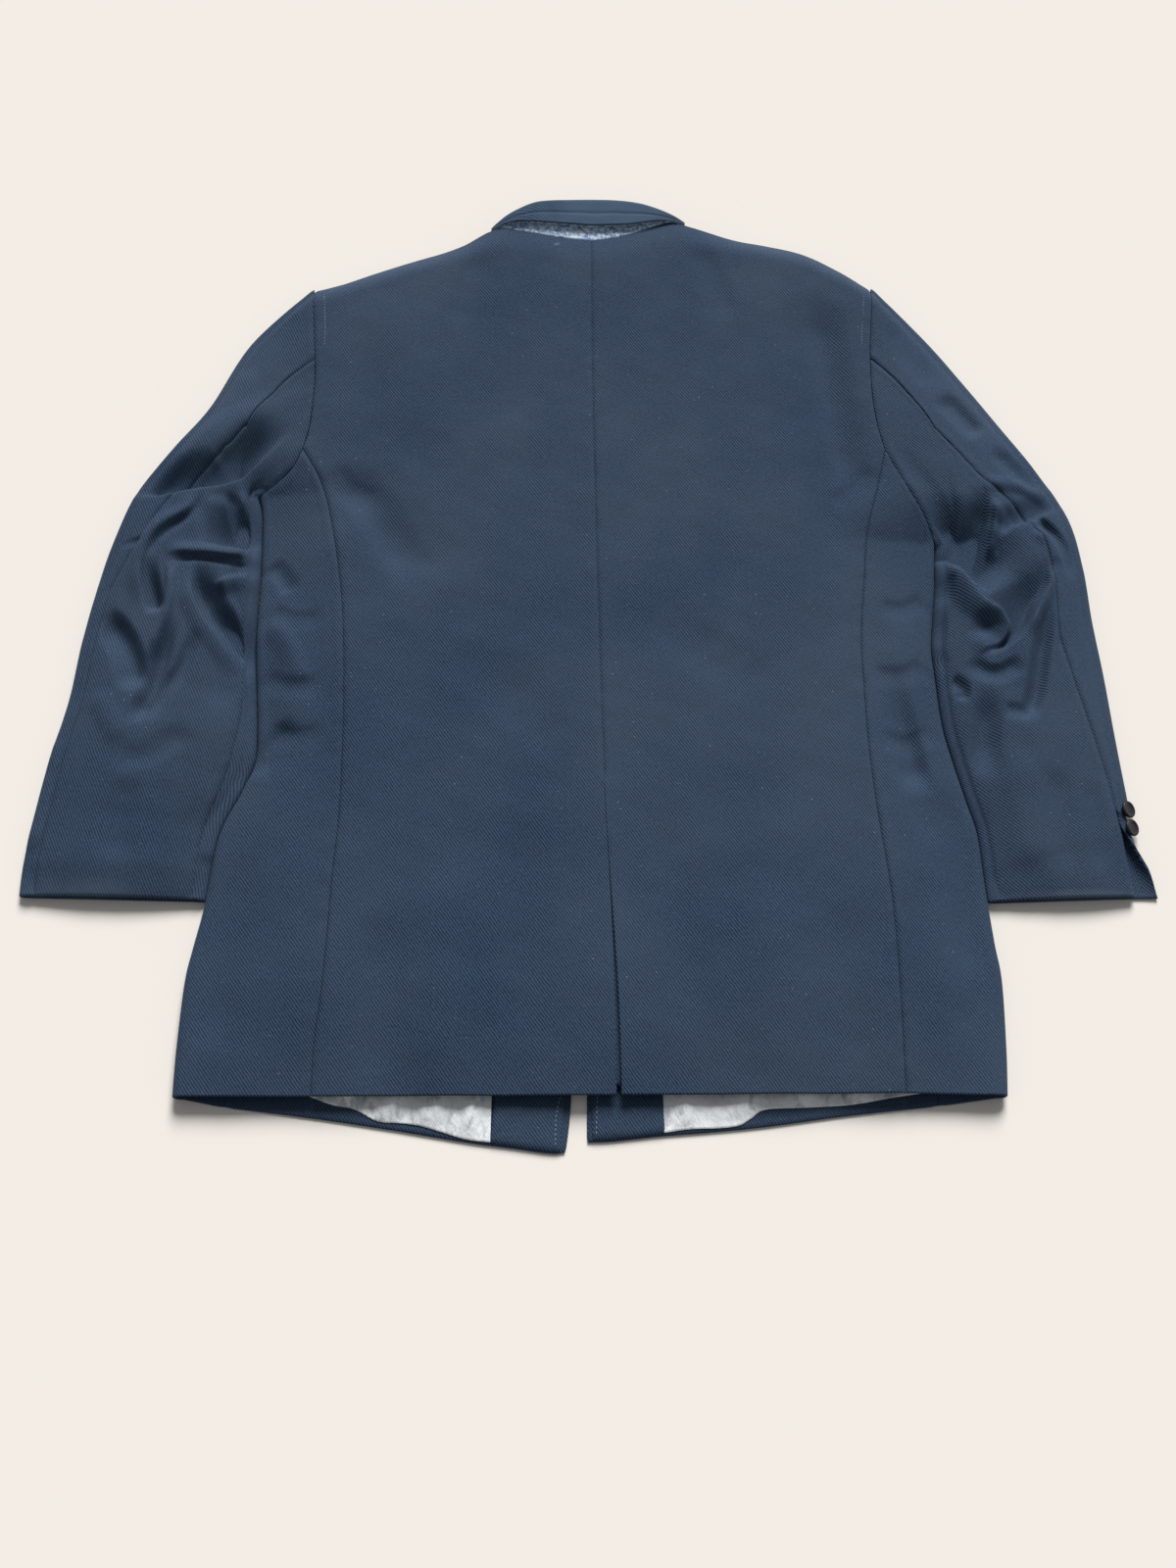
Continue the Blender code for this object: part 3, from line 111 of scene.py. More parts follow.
TOP_LINE = {
    LEFT: [(0.0030, 0.3819), (-0.0220, 0.3848), (-0.0420, 0.3890), (-0.0610, 0.3927),
           (-0.0750, 0.3960), (-0.0900, 0.3930), (-0.1090, 0.3841), (-0.1330, 0.3771),
           (-0.1600, 0.3676), (-0.1900, 0.3559), (-0.2150, 0.3453), (-0.2410, 0.3369)],
    RIGHT: [(0.0030, 0.3819), (0.0280, 0.3860), (0.0440, 0.3914), (0.0610, 0.3983),
            (0.0740, 0.4018), (0.0900, 0.3986), (0.1140, 0.3946), (0.1520, 0.3879),
            (0.1910, 0.3772), (0.2250, 0.3569), (0.2490, 0.3379)],
}
FRONT_SEAM = {
    LEFT: [(-0.2700, -0.3920), (-0.2560, -0.2500), (-0.2360, -0.1000), (-0.2360, 0.0200),
           (-0.2400, 0.1645)],
    RIGHT: [(0.2600, -0.3910), (0.2560, -0.2500), (0.2500, -0.1000), (0.2490, 0.0200),
            (0.2500, 0.1635)],
}
FRONT_HEM = {
    LEFT: [(-0.0170, -0.4255), (-0.0270, -0.4265), (-0.0560, -0.4225), (-0.0870, -0.4185),
           (-0.1410, -0.4095), (-0.2010, -0.4005), (-0.2700, -0.3920)],
    RIGHT: [(0.0000, -0.4180), (0.0170, -0.4175), (0.0540, -0.4135), (0.0910, -0.4105),
            (0.1310, -0.4065), (0.1900, -0.3985), (0.2600, -0.3910)],
}
FRONT_EDGE = {
    LEFT: [(-0.0170, -0.4255), (-0.0130, -0.3805), (-0.0100, -0.2500), (-0.0100, -0.0200),
           (-0.0550, 0.2100), (-0.0900, 0.3930)],
    RIGHT: [(0.0000, -0.4180), (0.0000, -0.3805), (0.0000, -0.2500), (0.0000, -0.0200),
            (0.0530, 0.2100), (0.0900, 0.3986)],
}
FRONT_SHOULDER = {
    LEFT: [(-0.0900, 0.3930), (-0.1330, 0.3771), (-0.1900, 0.3559), (-0.2410, 0.3369)],
    RIGHT: [(0.0900, 0.3986), (0.1520, 0.3879), (0.2250, 0.3569), (0.2490, 0.3379)],
}

# Cross lines of each sleeve: outer end, inner end, shares of the two seams, height of the crown
SLEEVE_ROWS = {
    LEFT: [
        ((-0.2925, 0.2826), (-0.2785, 0.1140), 0.56, 0.985, 0.0270),
        ((-0.3243, 0.2168), (-0.2730, 0.0750), 0.33, 0.985, 0.0280),
        ((-0.3521, 0.1754), (-0.2710, 0.0450), 0.23, 0.985, 0.0280),
        ((-0.3792, 0.1338), (-0.2710, 0.0150), 0.18, 0.985, 0.0270),
        ((-0.3953, 0.0846), (-0.2703, -0.0150), 0.11, 0.985, 0.0255),
        ((-0.4048, 0.0401), (-0.2683, -0.0450), 0.04, 0.985, 0.0235),
        ((-0.4127, -0.0097), (-0.2657, -0.0780), 0.03, 0.970, 0.0215),
        ((-0.4179, -0.0600), (-0.2650, -0.1120), 0.03, 0.930, 0.0200),
        ((-0.4276, -0.1100), (-0.2753, -0.1440), 0.03, 0.950, 0.0180),
        ((-0.4346, -0.1596), (-0.2891, -0.1800), 0.03, 0.970, 0.0160),
        ((-0.4395, -0.2000), (-0.2940, -0.2080), 0.03, 0.975, 0.0145),
        ((-0.4400, -0.2270), (-0.2975, -0.2310), 0.03, 0.975, 0.0100),
    ],
    RIGHT: [
        ((0.2927, 0.2867), (0.2925, 0.0610), 0.44, 0.985, 0.0260),
        ((0.3243, 0.2399), (0.2872, 0.0400), 0.37, 0.985, 0.0260),
        ((0.3521, 0.1960), (0.2838, 0.0180), 0.31, 0.985, 0.0260),
        ((0.3778, 0.1550), (0.2810, -0.0040), 0.23, 0.985, 0.0255),
        ((0.4016, 0.1081), (0.2805, -0.0280), 0.17, 0.985, 0.0245),
        ((0.4102, 0.0622), (0.2820, -0.0550), 0.17, 0.985, 0.0230),
        ((0.4131, 0.0101), (0.2843, -0.0850), 0.20, 0.985, 0.0215),
        ((0.4176, -0.0399), (0.2905, -0.1160), 0.16, 0.985, 0.0200),
        ((0.4210, -0.0900), (0.2984, -0.1480), 0.10, 0.985, 0.0185),
        ((0.4245, -0.1350), (0.3055, -0.1780), 0.05, 0.985, 0.0165),
        ((0.4280, -0.1750), (0.3076, -0.2050), 0.03, 0.985, 0.0150),
        ((0.4340, -0.2270), (0.3098, -0.2320), 0.03, 0.985, 0.0100),
    ],
}
BEND_REACH = 0.10
ARMHOLE_BLEND = 0.045
FOLD_START = 0.030
ARMPIT_SWING = 0.0450
HOOK_START = 0.060
HOOK = {LEFT: 0.110, RIGHT: 0.140}
VENT_START = 0.885

# Large folds that the solids have too: line in plan, half width, height
BODY_FOLDS = [
    ([(0.189, 0.334), (0.196, 0.202), (0.202, 0.106), (0.210, 0.041)], 0.034, -0.0028),
    ([(-0.205, 0.144), (-0.160, 0.090), (-0.120, 0.030)], 0.040, -0.0022),
    ([(-0.250, 0.040), (-0.240, -0.030), (-0.225, -0.114)], 0.026, 0.0030),
    ([(0.270, -0.130), (0.285, -0.210), (0.290, -0.310)], 0.028, -0.0035),
    ([(0.262, 0.020), (0.254, -0.060), (0.262, -0.130)], 0.022, 0.0028),
    ([(-0.265, -0.190), (-0.278, -0.270), (-0.282, -0.360)], 0.026, -0.0026),
    ([(-0.100, -0.180), (-0.110, -0.280), (-0.115, -0.400)], 0.035, 0.0022),
    ([(0.130, -0.200), (0.140, -0.290), (0.150, -0.400)], 0.035, 0.0020),
    ([(-0.180, 0.330), (-0.150, 0.240), (-0.140, 0.160)], 0.040, 0.0020),
]

# Finer creases that only the cloth here has: line, width to its left, width to its right, height,
# and for some the shares of its length over which it fades at its two ends
BODY_CREASES = [
    ([(0.196, 0.330), (0.204, 0.260), (0.212, 0.180), (0.222, 0.110)], 0.0260, 0.0150, -0.0044),
    ([(-0.212, 0.150), (-0.176, 0.100), (-0.140, 0.040)], 0.0260, 0.0200, -0.0034),
    ([(0.243, -0.020), (0.250, -0.080), (0.262, -0.150)], 0.0140, 0.0190, -0.0062, 0.60, 0.20),
    ([(-0.233, -0.082), (-0.250, -0.104), (-0.262, -0.132)], 0.0160, 0.0100, -0.0028),
    ([(-0.262, 0.062), (-0.250, 0.045), (-0.243, 0.030)], 0.0120, 0.0100, -0.0030),
    ([(-0.262, 0.010), (-0.240, -0.020), (-0.224, -0.060)], 0.0100, 0.0160, 0.0022),
    ([(0.003, 0.360), (0.006, 0.300), (0.004, 0.240)], 0.010, 0.016, -0.0010),
    ([(-0.215, 0.150), (-0.196, 0.128), (-0.170, 0.118)], 0.010, 0.022, -0.0017),
    ([(0.236, 0.150), (0.222, 0.128), (0.200, 0.112)], 0.020, 0.010, -0.0017),
    ([(-0.262, 0.020), (-0.238, 0.008), (-0.214, 0.010)], 0.007, 0.016, -0.0017),
    ([(-0.262, -0.040), (-0.240, -0.052), (-0.212, -0.050)], 0.008, 0.016, -0.0019),
    ([(-0.256, -0.086), (-0.232, -0.096), (-0.206, -0.090)], 0.008, 0.018, -0.0015),
    ([(0.276, 0.030), (0.256, 0.018), (0.236, 0.020)], 0.014, 0.008, -0.0015),
    ([(0.272, -0.030), (0.252, -0.042), (0.226, -0.040)], 0.016, 0.008, -0.0017),
    ([(0.276, -0.088), (0.254, -0.100), (0.230, -0.096)], 0.016, 0.008, -0.0015),
    ([(-0.120, -0.020), (-0.060, -0.060), (-0.020, -0.120)], 0.030, 0.030, -0.0014),
    ([(0.050, 0.020), (0.100, -0.030), (0.160, -0.060)], 0.030, 0.030, -0.0014),
    ([(0.060, -0.150), (0.070, -0.240), (0.078, -0.340)], 0.026, 0.026, -0.0017),
    ([(-0.050, -0.160), (-0.046, -0.250), (-0.050, -0.350)], 0.026, 0.026, -0.0017),
    ([(0.200, -0.230), (0.196, -0.300), (0.200, -0.380)], 0.020, 0.026, -0.0017),
    ([(-0.160, -0.240), (-0.158, -0.310), (-0.166, -0.382)], 0.026, 0.020, -0.0017),
    ([(-0.090, 0.372), (-0.108, 0.330), (-0.116, 0.280)], 0.020, 0.014, -0.0015),
    ([(0.094, 0.378), (0.112, 0.336), (0.122, 0.290)], 0.014, 0.020, -0.0015),
]
SLEEVE_CREASES = {
    LEFT: [
        ([(-0.371, 0.156), (-0.340, 0.173), (-0.295, 0.187), (-0.250, 0.201)], 0.0276, 0.0299, 0.0042),
        ([(-0.392, 0.124), (-0.375, 0.128), (-0.356, 0.128), (-0.333, 0.131), (-0.305, 0.134),
          (-0.291, 0.145), (-0.271, 0.166), (-0.246, 0.193)], 0.0360, 0.0065, -0.0150, 0.22, 0.24),
        ([(-0.322, 0.108), (-0.300, 0.108), (-0.276, 0.120)], 0.0138, 0.0253, 0.0035),
        ([(-0.322, 0.075), (-0.306, 0.078), (-0.292, 0.079), (-0.275, 0.077), (-0.245, 0.072)],
         0.0520, 0.0090, -0.0150, 0.32, 0.10),
        ([(-0.298, 0.124), (-0.293, 0.105), (-0.285, 0.080)], 0.0092, 0.0080, -0.0053),
        ([(-0.350, 0.064), (-0.337, 0.065), (-0.319, 0.064), (-0.292, 0.064),
          (-0.267, 0.071)], 0.0110, 0.0030, 0.0040),
        ([(-0.348, 0.056), (-0.335, 0.058), (-0.318, 0.059), (-0.290, 0.057),
          (-0.265, 0.062)], 0.0026, 0.0040, -0.0022),
        ([(-0.302, 0.046), (-0.294, 0.048), (-0.283, 0.051), (-0.268, 0.057), (-0.250, 0.062)],
         0.0110, 0.0046, -0.0065, 0.55, 0.10),
        ([(-0.306, 0.034), (-0.295, 0.040), (-0.283, 0.045), (-0.269, 0.054)], 0.0046, 0.0138, 0.0056),
        ([(-0.316, 0.058), (-0.317, 0.036), (-0.308, 0.014), (-0.291, -0.007), (-0.276, -0.027),
          (-0.265, -0.048)], 0.0190, 0.0085, -0.0145, 0.30, 0.12),
        ([(-0.323, 0.049), (-0.323, 0.027), (-0.313, 0.004), (-0.294, -0.021),
          (-0.281, -0.046)], 0.0046, 0.0138, 0.0028),
        ([(-0.286, 0.029), (-0.281, 0.009), (-0.276, -0.012)], 0.0034, 0.0046, -0.0020),
        ([(-0.362, 0.066), (-0.359, 0.048), (-0.355, 0.030), (-0.350, 0.010)], 0.0095, 0.0105, -0.0125,
         0.75, 0.22),
        ([(-0.343, 0.060), (-0.341, 0.034), (-0.342, 0.013), (-0.349, -0.012),
          (-0.353, -0.034)], 0.0080, 0.0052, 0.0050),
        ([(-0.323, 0.129), (-0.331, 0.106), (-0.350, 0.094), (-0.361, 0.083), (-0.367, 0.065),
          (-0.368, 0.042), (-0.362, 0.018)], 0.0046, 0.0126, 0.0039),
        ([(-0.326, 0.124), (-0.329, 0.103), (-0.346, 0.089), (-0.357, 0.078),
          (-0.363, 0.060)], 0.0080, 0.0034, -0.0025),
        ([(-0.400, 0.016), (-0.387, 0.004), (-0.374, -0.014), (-0.365, -0.037),
          (-0.363, -0.060)], 0.0130, 0.0190, -0.0095, 0.30, 0.22),
        ([(-0.336, 0.009), (-0.340, -0.015), (-0.346, -0.046), (-0.352, -0.065),
          (-0.361, -0.089)], 0.0090, 0.0130, -0.0090, 0.40, 0.20),
        ([(-0.317, -0.003), (-0.326, -0.035), (-0.339, -0.058),
          (-0.352, -0.087)], 0.0103, 0.0069, -0.0042),
        ([(-0.395, -0.055), (-0.382, -0.081), (-0.366, -0.103)], 0.0138, 0.0138, 0.0022),
        ([(-0.377, -0.115), (-0.348, -0.113), (-0.314, -0.091)], 0.0161, 0.0138, -0.0022),
        ([(-0.289, -0.055), (-0.299, -0.106), (-0.304, -0.173)], 0.0207, 0.0230, 0.0025),
        ([(-0.363, -0.131), (-0.366, -0.165), (-0.368, -0.205)], 0.0184, 0.0184, -0.0020),
        ([(-0.390, 0.078), (-0.379, 0.078), (-0.366, 0.081)], 0.0034, 0.0069, -0.0017),
        ([(-0.256, 0.308), (-0.280, 0.273), (-0.297, 0.233)], 0.0184, 0.0184, -0.0022),
    ],
    RIGHT: [
        ([(0.251, 0.171), (0.263, 0.144), (0.278, 0.120), (0.288, 0.095), (0.291, 0.069),
          (0.288, 0.054)], 0.0190, 0.0100, -0.0080),
        ([(0.262, 0.060), (0.284, 0.067), (0.296, 0.068), (0.308, 0.060), (0.320, 0.043), (0.330, 0.026)],
         0.0560, 0.0060, -0.0170, 0.12, 0.30),
        ([(0.331, 0.130), (0.328, 0.100), (0.319, 0.072), (0.310, 0.054)], 0.0055, 0.0180, -0.0110,
         0.40, 0.20),
        ([(0.339, 0.118), (0.337, 0.090), (0.330, 0.062)], 0.0110, 0.0046, 0.0060),
        ([(0.285, 0.061), (0.295, 0.057), (0.304, 0.049), (0.312, 0.035), (0.319, 0.023),
          (0.327, 0.016), (0.336, 0.013), (0.342, 0.002), (0.336, -0.010), (0.323, -0.019),
          (0.309, -0.026)], 0.0039, 0.0200, 0.0070),
        ([(0.322, 0.011), (0.318, -0.002), (0.309, -0.012)], 0.0103, 0.0103, -0.0015),
        ([(0.297, 0.049), (0.295, 0.036), (0.291, 0.023)], 0.0069, 0.0057, -0.0056),
        ([(0.376, 0.065), (0.372, 0.043), (0.360, 0.023), (0.351, 0.002), (0.336, -0.013),
          (0.319, -0.023)], 0.0085, 0.0330, -0.0150, 0.50, 0.20),
        ([(0.381, 0.060), (0.378, 0.038), (0.367, 0.014), (0.355, -0.009)], 0.0080, 0.0046, 0.0031),
        ([(0.337, 0.082), (0.350, 0.094), (0.366, 0.101), (0.382, 0.111),
          (0.396, 0.118)], 0.0196, 0.0057, -0.0067),
        ([(0.328, 0.131), (0.353, 0.131), (0.374, 0.127), (0.389, 0.116)], 0.0115, 0.0092, 0.0031),
        ([(0.343, 0.101), (0.340, 0.082), (0.337, 0.064)], 0.0034, 0.0080, -0.0028),
        ([(0.367, 0.103), (0.379, 0.096), (0.391, 0.083), (0.398, 0.066),
          (0.399, 0.043)], 0.0057, 0.0092, -0.0059),
        ([(0.370, 0.090), (0.382, 0.075), (0.387, 0.056)], 0.0069, 0.0092, 0.0025),
        ([(0.377, 0.025), (0.371, -0.002), (0.365, -0.030), (0.359, -0.058),
          (0.350, -0.084)], 0.0090, 0.0110, -0.0085, 0.40, 0.16),
        ([(0.331, -0.074), (0.343, -0.075), (0.355, -0.079)], 0.0069, 0.0103, -0.0028),
        ([(0.323, -0.053), (0.318, -0.074), (0.315, -0.103), (0.312, -0.136)], 0.0150, 0.0150, -0.0070,
         0.40, 0.40),
        ([(0.308, -0.028), (0.318, -0.039), (0.332, -0.041), (0.350, -0.030)], 0.0080, 0.0130, -0.0040),
        ([(0.287, 0.018), (0.284, 0.000), (0.278, -0.019)], 0.0100, 0.0110, -0.0100, 0.60, 0.25),
        ([(0.285, -0.021), (0.287, -0.034)], 0.0069, 0.0080, -0.0042),
        ([(0.291, -0.044), (0.301, -0.055), (0.300, -0.067)], 0.0069, 0.0092, -0.0042),
        ([(0.300, 0.221), (0.315, 0.203), (0.333, 0.179)], 0.0130, 0.0160, -0.0052),
        ([(0.343, 0.170), (0.364, 0.146), (0.385, 0.127)], 0.0103, 0.0149, -0.0048),
        ([(0.260, 0.295), (0.275, 0.260), (0.295, 0.227)], 0.0184, 0.0172, -0.0022),
        ([(0.370, -0.123), (0.371, -0.165), (0.368, -0.213)], 0.0184, 0.0184, -0.0020),
        ([(0.341, -0.106), (0.341, -0.156), (0.340, -0.213)], 0.0207, 0.0207, 0.0025),
        ([(0.392, -0.131), (0.397, -0.173), (0.396, -0.213)], 0.0115, 0.0161, -0.0017),
    ],
}

# Grid steps of the cloth, the widths and the share of a sleeve's length that they divide, the steps
# round a folded side, and how far a folded hem bulges
STEP = 0.0032
CREASED_STEP = 0.0017
OUTER_STRIP_STEP = 0.0028
CREASED_SHARE = 0.62
BACK_WIDTH = 0.235
UNDERSLEEVE_WIDTH = 0.115
OUTER_STRIP_WIDTH = 0.055
TURN_STEPS = 10
HEM_BULGE = 0.0007

# Small uneven waves of the laid cloth: height, length and seed
BODY_RIPPLES = [(0.00042, 0.085, 3), (0.00016, 0.030, 5)]
SLEEVE_RIPPLES = [(0.00050, 0.060, 7), (0.00016, 0.024, 8)]

# How much of a crease's depth is left at a sleeve's inner and outer edge, and the share of the
# sleeve's width over which it grows to the whole. Last, the share beside the inner edge in which
# folds are evened out
INNER_EDGE_CREASE = (0.45, 0.05)
OUTER_EDGE_CREASE = (0.25, 0.12)
SOFTENED_SHARE = 0.07

# A seam: half widths of its groove, of the pucker beside it and of its pressed allowance, and the
# allowance's distance from the seam
GROOVE_WIDTH = 0.0013
PUCKER_WIDTH = 0.007
PRESSED_WIDTH = 0.0030
PRESSED_PLACE = 0.0052

# The centre vent: length over which the seam ends, height and width of its pressed edge, and how
# far the underlap lies below it. Last, how far a facing lies inside the front's edges
VENT_EASE = 0.010
VENT_EDGE_HEIGHT = 0.0011
VENT_EDGE_WIDTH = 0.010
UNDERLAP_DROP = 0.0009
FACING_INSET = 0.0015

# A sleeve: shares of the armhole and of the underarm at which it meets them, its rows over hidden
# cuff buttons, the end of its hook, and its fore seam's place at the armhole and out of sight
ARMHOLE_SHARES = [0.0, 0.13, 0.26, 0.39, 0.52, 0.64, 0.76, 0.87, 0.95, 1.0]
UNDERARM_SHARES = [0.0, 0.3, 0.6]
BUTTON_ROWS = (0.74, 0.94)
BUTTON_EASE = 0.03
HOOK_END = 0.30
HOOK_EASE = 0.25
FORE_SEAM_START = 0.985
FORE_SEAM_HIDDEN = 0.972

# Distances from a seam at which its fine rows lie
EDGE_DISTANCES = [0.0, 0.0006, 0.0013, 0.0022, 0.0036]


def blend(first, last, share):
    return first + (last - first) * share


def between(first, last, share):
    """Like blend, but exact at both ends."""
    return first * (1.0 - share) + last * share


def ease(value):
    value = np.clip(value, 0.0, 1.0)
    return value * value * (3.0 - 2.0 * value)


def rise(value):
    return np.sin(0.5 * np.pi * np.clip(value, 0.0, 1.0))


def cubic(before, start, end, after, share):
    linear = end - before
    square = before * 2.0 - start * 5.0 + end * 4.0 - after
    cube = start * 3.0 - before - end * 3.0 + after
    return start + (linear * share + square * share ** 2 + cube * share ** 3) * 0.5


def smooth_line(points, steps=8):
    """A dense smooth line through a few points, and how far along them each of its points lies."""
    corners = np.array(points, float)
    dense = [corners[0]]
    places = [0.0]
    for index in range(len(corners) - 1):
        before = corners[max(index - 1, 0)]
        after = corners[min(index + 2, len(corners) - 1)]
        for step in range(1, steps + 1):
            dense.append(cubic(before, corners[index], corners[index + 1], after, step / steps))
            places.append(index + step / steps)
    return np.array(dense), np.array(places)


def step_sizes(points):
    return np.linalg.norm(np.diff(points, axis=0), axis=1)


def lengths_to(sizes):
    return np.concatenate([[0.0], np.cumsum(sizes)])


def read_dense(dense, shares):
    """Points at shares of a dense line's length."""
    lengths = lengths_to(step_sizes(dense))
    wanted = np.clip(np.asarray(shares, float), 0.0, 1.0) * lengths[-1]
    return np.stack([np.interp(wanted, lengths, dense[:, k]) for k in range(dense.shape[1])], -1)


def read_line(points, shares):
    return read_dense(smooth_line(points)[0], shares)


def length_of(points):
    return float(step_sizes(smooth_line(points)[0]).sum())


def placed_line(points, places, wanted):
    """Points of a smooth line whose own points lie at the given places."""
    dense, indices = smooth_line(points, steps=16)
    at = np.interp(indices, np.arange(len(places)), places)
    return np.stack([np.interp(np.clip(wanted, 0.0, 1.0), at, dense[:, k]) for k in range(2)], -1)


def spread(length, first=False, last=False, step=STEP):
    """Shares of a length at an even step, with finer steps at a seam at either end."""
    shares = list(np.linspace(0.0, 1.0, max(int(round(length / step)), 3) + 1))
    if first:
        close = [d / length for d in EDGE_DISTANCES]
        shares = close + [s for s in shares if s > close[-1] + 0.3 * step / length]
    if last:
        close = [1.0 - d / length for d in reversed(EDGE_DISTANCES)]
        shares = [s for s in shares if s < close[0] - 0.3 * step / length] + close
    return np.array(shares)


def patch(bottom, top, left, right, across, along):
    """A plan grid between four border lines."""
    u = across[None, :, None]
    v = along[:, None, None]
    corners = between(between(bottom[0], bottom[-1], u), between(top[0], top[-1], u), v)
    return between(bottom[None], top[None], v) + between(left[:, None], right[:, None], u) - corners


def nearest_on(dense, points):
    """The nearest place on a dense line to each point, and the way the line runs there."""
    spans = np.diff(dense, axis=0)
    away = points[:, None] - dense[None, :-1]
    part = np.clip((away * spans[None]).sum(-1) / (spans ** 2).sum(-1), 0.0, 1.0)
    spots = dense[None, :-1] + spans[None] * part[..., None]
    best = np.linalg.norm(points[:, None] - spots, axis=-1).argmin(1)
    ways = spans[best] / np.linalg.norm(spans[best], axis=1, keepdims=True)
    return spots[np.arange(len(points)), best], ways


def fold_height(places, line, left_width, right_width, height, first_share=0.25, last_share=0.25):
    """Height that one fold adds at places in plan, fading over a share of its length at each end."""
    flat = places.reshape(-1, 2)
    dense = smooth_line(line)[0]
    reach = max(left_width, right_width)
    near = np.all((flat > dense.min(0) - reach) & (flat < dense.max(0) + reach), axis=1)
    added = np.zeros(len(flat))
    spots = flat[near]
    if not len(spots):
        return added.reshape(places.shape[:-1])
    starts = dense[:-1]
    spans = np.diff(dense, axis=0)
    sizes = step_sizes(dense)
    lengths = lengths_to(sizes)
    away = spots[:, None] - starts[None]
    part = np.clip((away * spans[None]).sum(-1) / sizes ** 2, 0.0, 1.0)
    offset = away - spans[None] * part[..., None]
    distance = np.linalg.norm(offset, axis=-1)
    best = distance.argmin(1)
    row = np.arange(len(spots))
    share = (lengths[best] + part[row, best] * sizes[best]) / lengths[-1]
    side = spans[best, 0] * offset[row, best, 1] - spans[best, 1] * offset[row, best, 0]
    width = np.where(side > 0.0, left_width, right_width)
    across = np.clip(distance[row, best] / width, 0.0, 1.0)
    lengthwise = ease(np.minimum(share / first_share, (1.0 - share) / last_share))
    added[near] = height * lengthwise * (1.0 - across ** 2) ** 2
    return added.reshape(places.shape[:-1])


def folds_height(places, folds, creases):
    total = np.zeros(places.shape[:-1])
    for line, half_width, height in folds:
        total += fold_height(places, line, half_width, half_width, height)
    for line, left_width, right_width, height, *shares in creases:
        total += fold_height(places, line, left_width, right_width, height, *(shares or (0.24, 0.24)))
    return total


def soften_rows(values, near, count=21):
    """Even out values along the rows where near is one, and keep them where it is nought."""
    weights = np.hanning(count + 2)[1:-1]
    padded = np.pad(values, ((count // 2, count // 2), (0, 0)), mode="edge")
    even = sum(weight * padded[k:k + len(values)] for k, weight in enumerate(weights / weights.sum()))
    return blend(values, even, near)


def ripple(places, size, seed):
    """A soft uneven rise and fall over the plan, about from -1 to 1."""
    source = np.random.default_rng(seed)
    total = np.zeros(places.shape[:-1])
    for _ in range(9):
        angle = source.uniform(0.0, math.pi)
        wave = 2.0 * math.pi / (size * source.uniform(0.7, 1.6))
        phase = source.uniform(0.0, 2.0 * math.pi)
        along = places[..., 0] * math.cos(angle) + places[..., 1] * math.sin(angle)
        total += np.sin(along * wave + phase)
    return total / 4.0


def ripples(places, waves):
    return sum(height * ripple(places, size, seed) for height, size, seed in waves)


def under_lift(y):
    return UNDER_LIFT * ease((y - LIFT_START_Y) / (LIFT_END_Y - LIFT_START_Y))


def edge_x(side, y):
    rows = [(point[1], point[0]) for point in BODY_EDGE[side]]
    armpit = BODY_EDGE[side][-1]
    rows.append((armpit[1] + 0.10, armpit[0] + OUTWARD[side] * 0.14))
    rows = np.array(rows)
    return np.interp(y, rows[:, 0], rows[:, 1])


def top_line_y(x):
    rows = np.array(sorted(TOP_LINE[LEFT] + TOP_LINE[RIGHT][1:]))
    return np.interp(x, rows[:, 0], rows[:, 1])


def top_edge_height(x):
    reach = np.abs(x - CENTRE_SEAM[-1][0])
    return blend(NECK_HEIGHT, SHOULDER_EDGE_HEIGHT, ease((reach - 0.070) / 0.070))


def back_height(places):
    """Height of the upper layer's outer face over the whole body, folds and all."""
    x = places[..., 0]
    y = places[..., 1]
    levels = np.array(BODY_LEVELS)
    level = np.interp(y, levels[:, 0], levels[:, 1])
    is_left = x < CENTRE_SEAM[0][0]
    inward = np.where(is_left, x - edge_x(LEFT, y), edge_x(RIGHT, y) - x) - TURN
    height = blend(SIDE_EDGE_HEIGHT, level, rise(inward / SIDE_FALL))
    height = blend(top_edge_height(x), height, rise((top_line_y(x) - y) / SHOULDER_ROLL))
    height = height + folds_height(places, BODY_FOLDS, BODY_CREASES)
    calm = rise(inward / 0.040) * rise((top_line_y(x) - y) / 0.040)
    height += calm * ripples(places, BODY_RIPPLES)
    return height


def seam_dip(distance, places, depth=0.0009):
    """The groove of a seam, and the slight pucker of the cloth beside it."""
    groove = -depth * np.exp(-(distance / GROOVE_WIDTH) ** 2)
    pucker = 0.00022 * np.exp(-(distance / PUCKER_WIDTH) ** 2) * ripple(places, 0.012, 11)
    pressed = 0.00035 * np.exp(-((distance - PRESSED_PLACE) / PRESSED_WIDTH) ** 2)
    return groove + pucker + pressed


def from_border(plan, border):
    """Distance of each point of a plan grid from one of its borders."""
    line = {"first column": plan[:, :1], "last column": plan[:, -1:],
            "first row": plan[:1], "last row": plan[-1:]}[border]
    return np.linalg.norm(plan - line, axis=-1)


def two_faces(plan, height, thickness=WOOL):
    """Outer and inner face of laid cloth. With a thickness below nought its outer face is down."""
    outer = np.concatenate([plan, height[..., None]], axis=-1)
    inner = outer - np.array([0.0, 0.0, thickness])
    return outer, inner


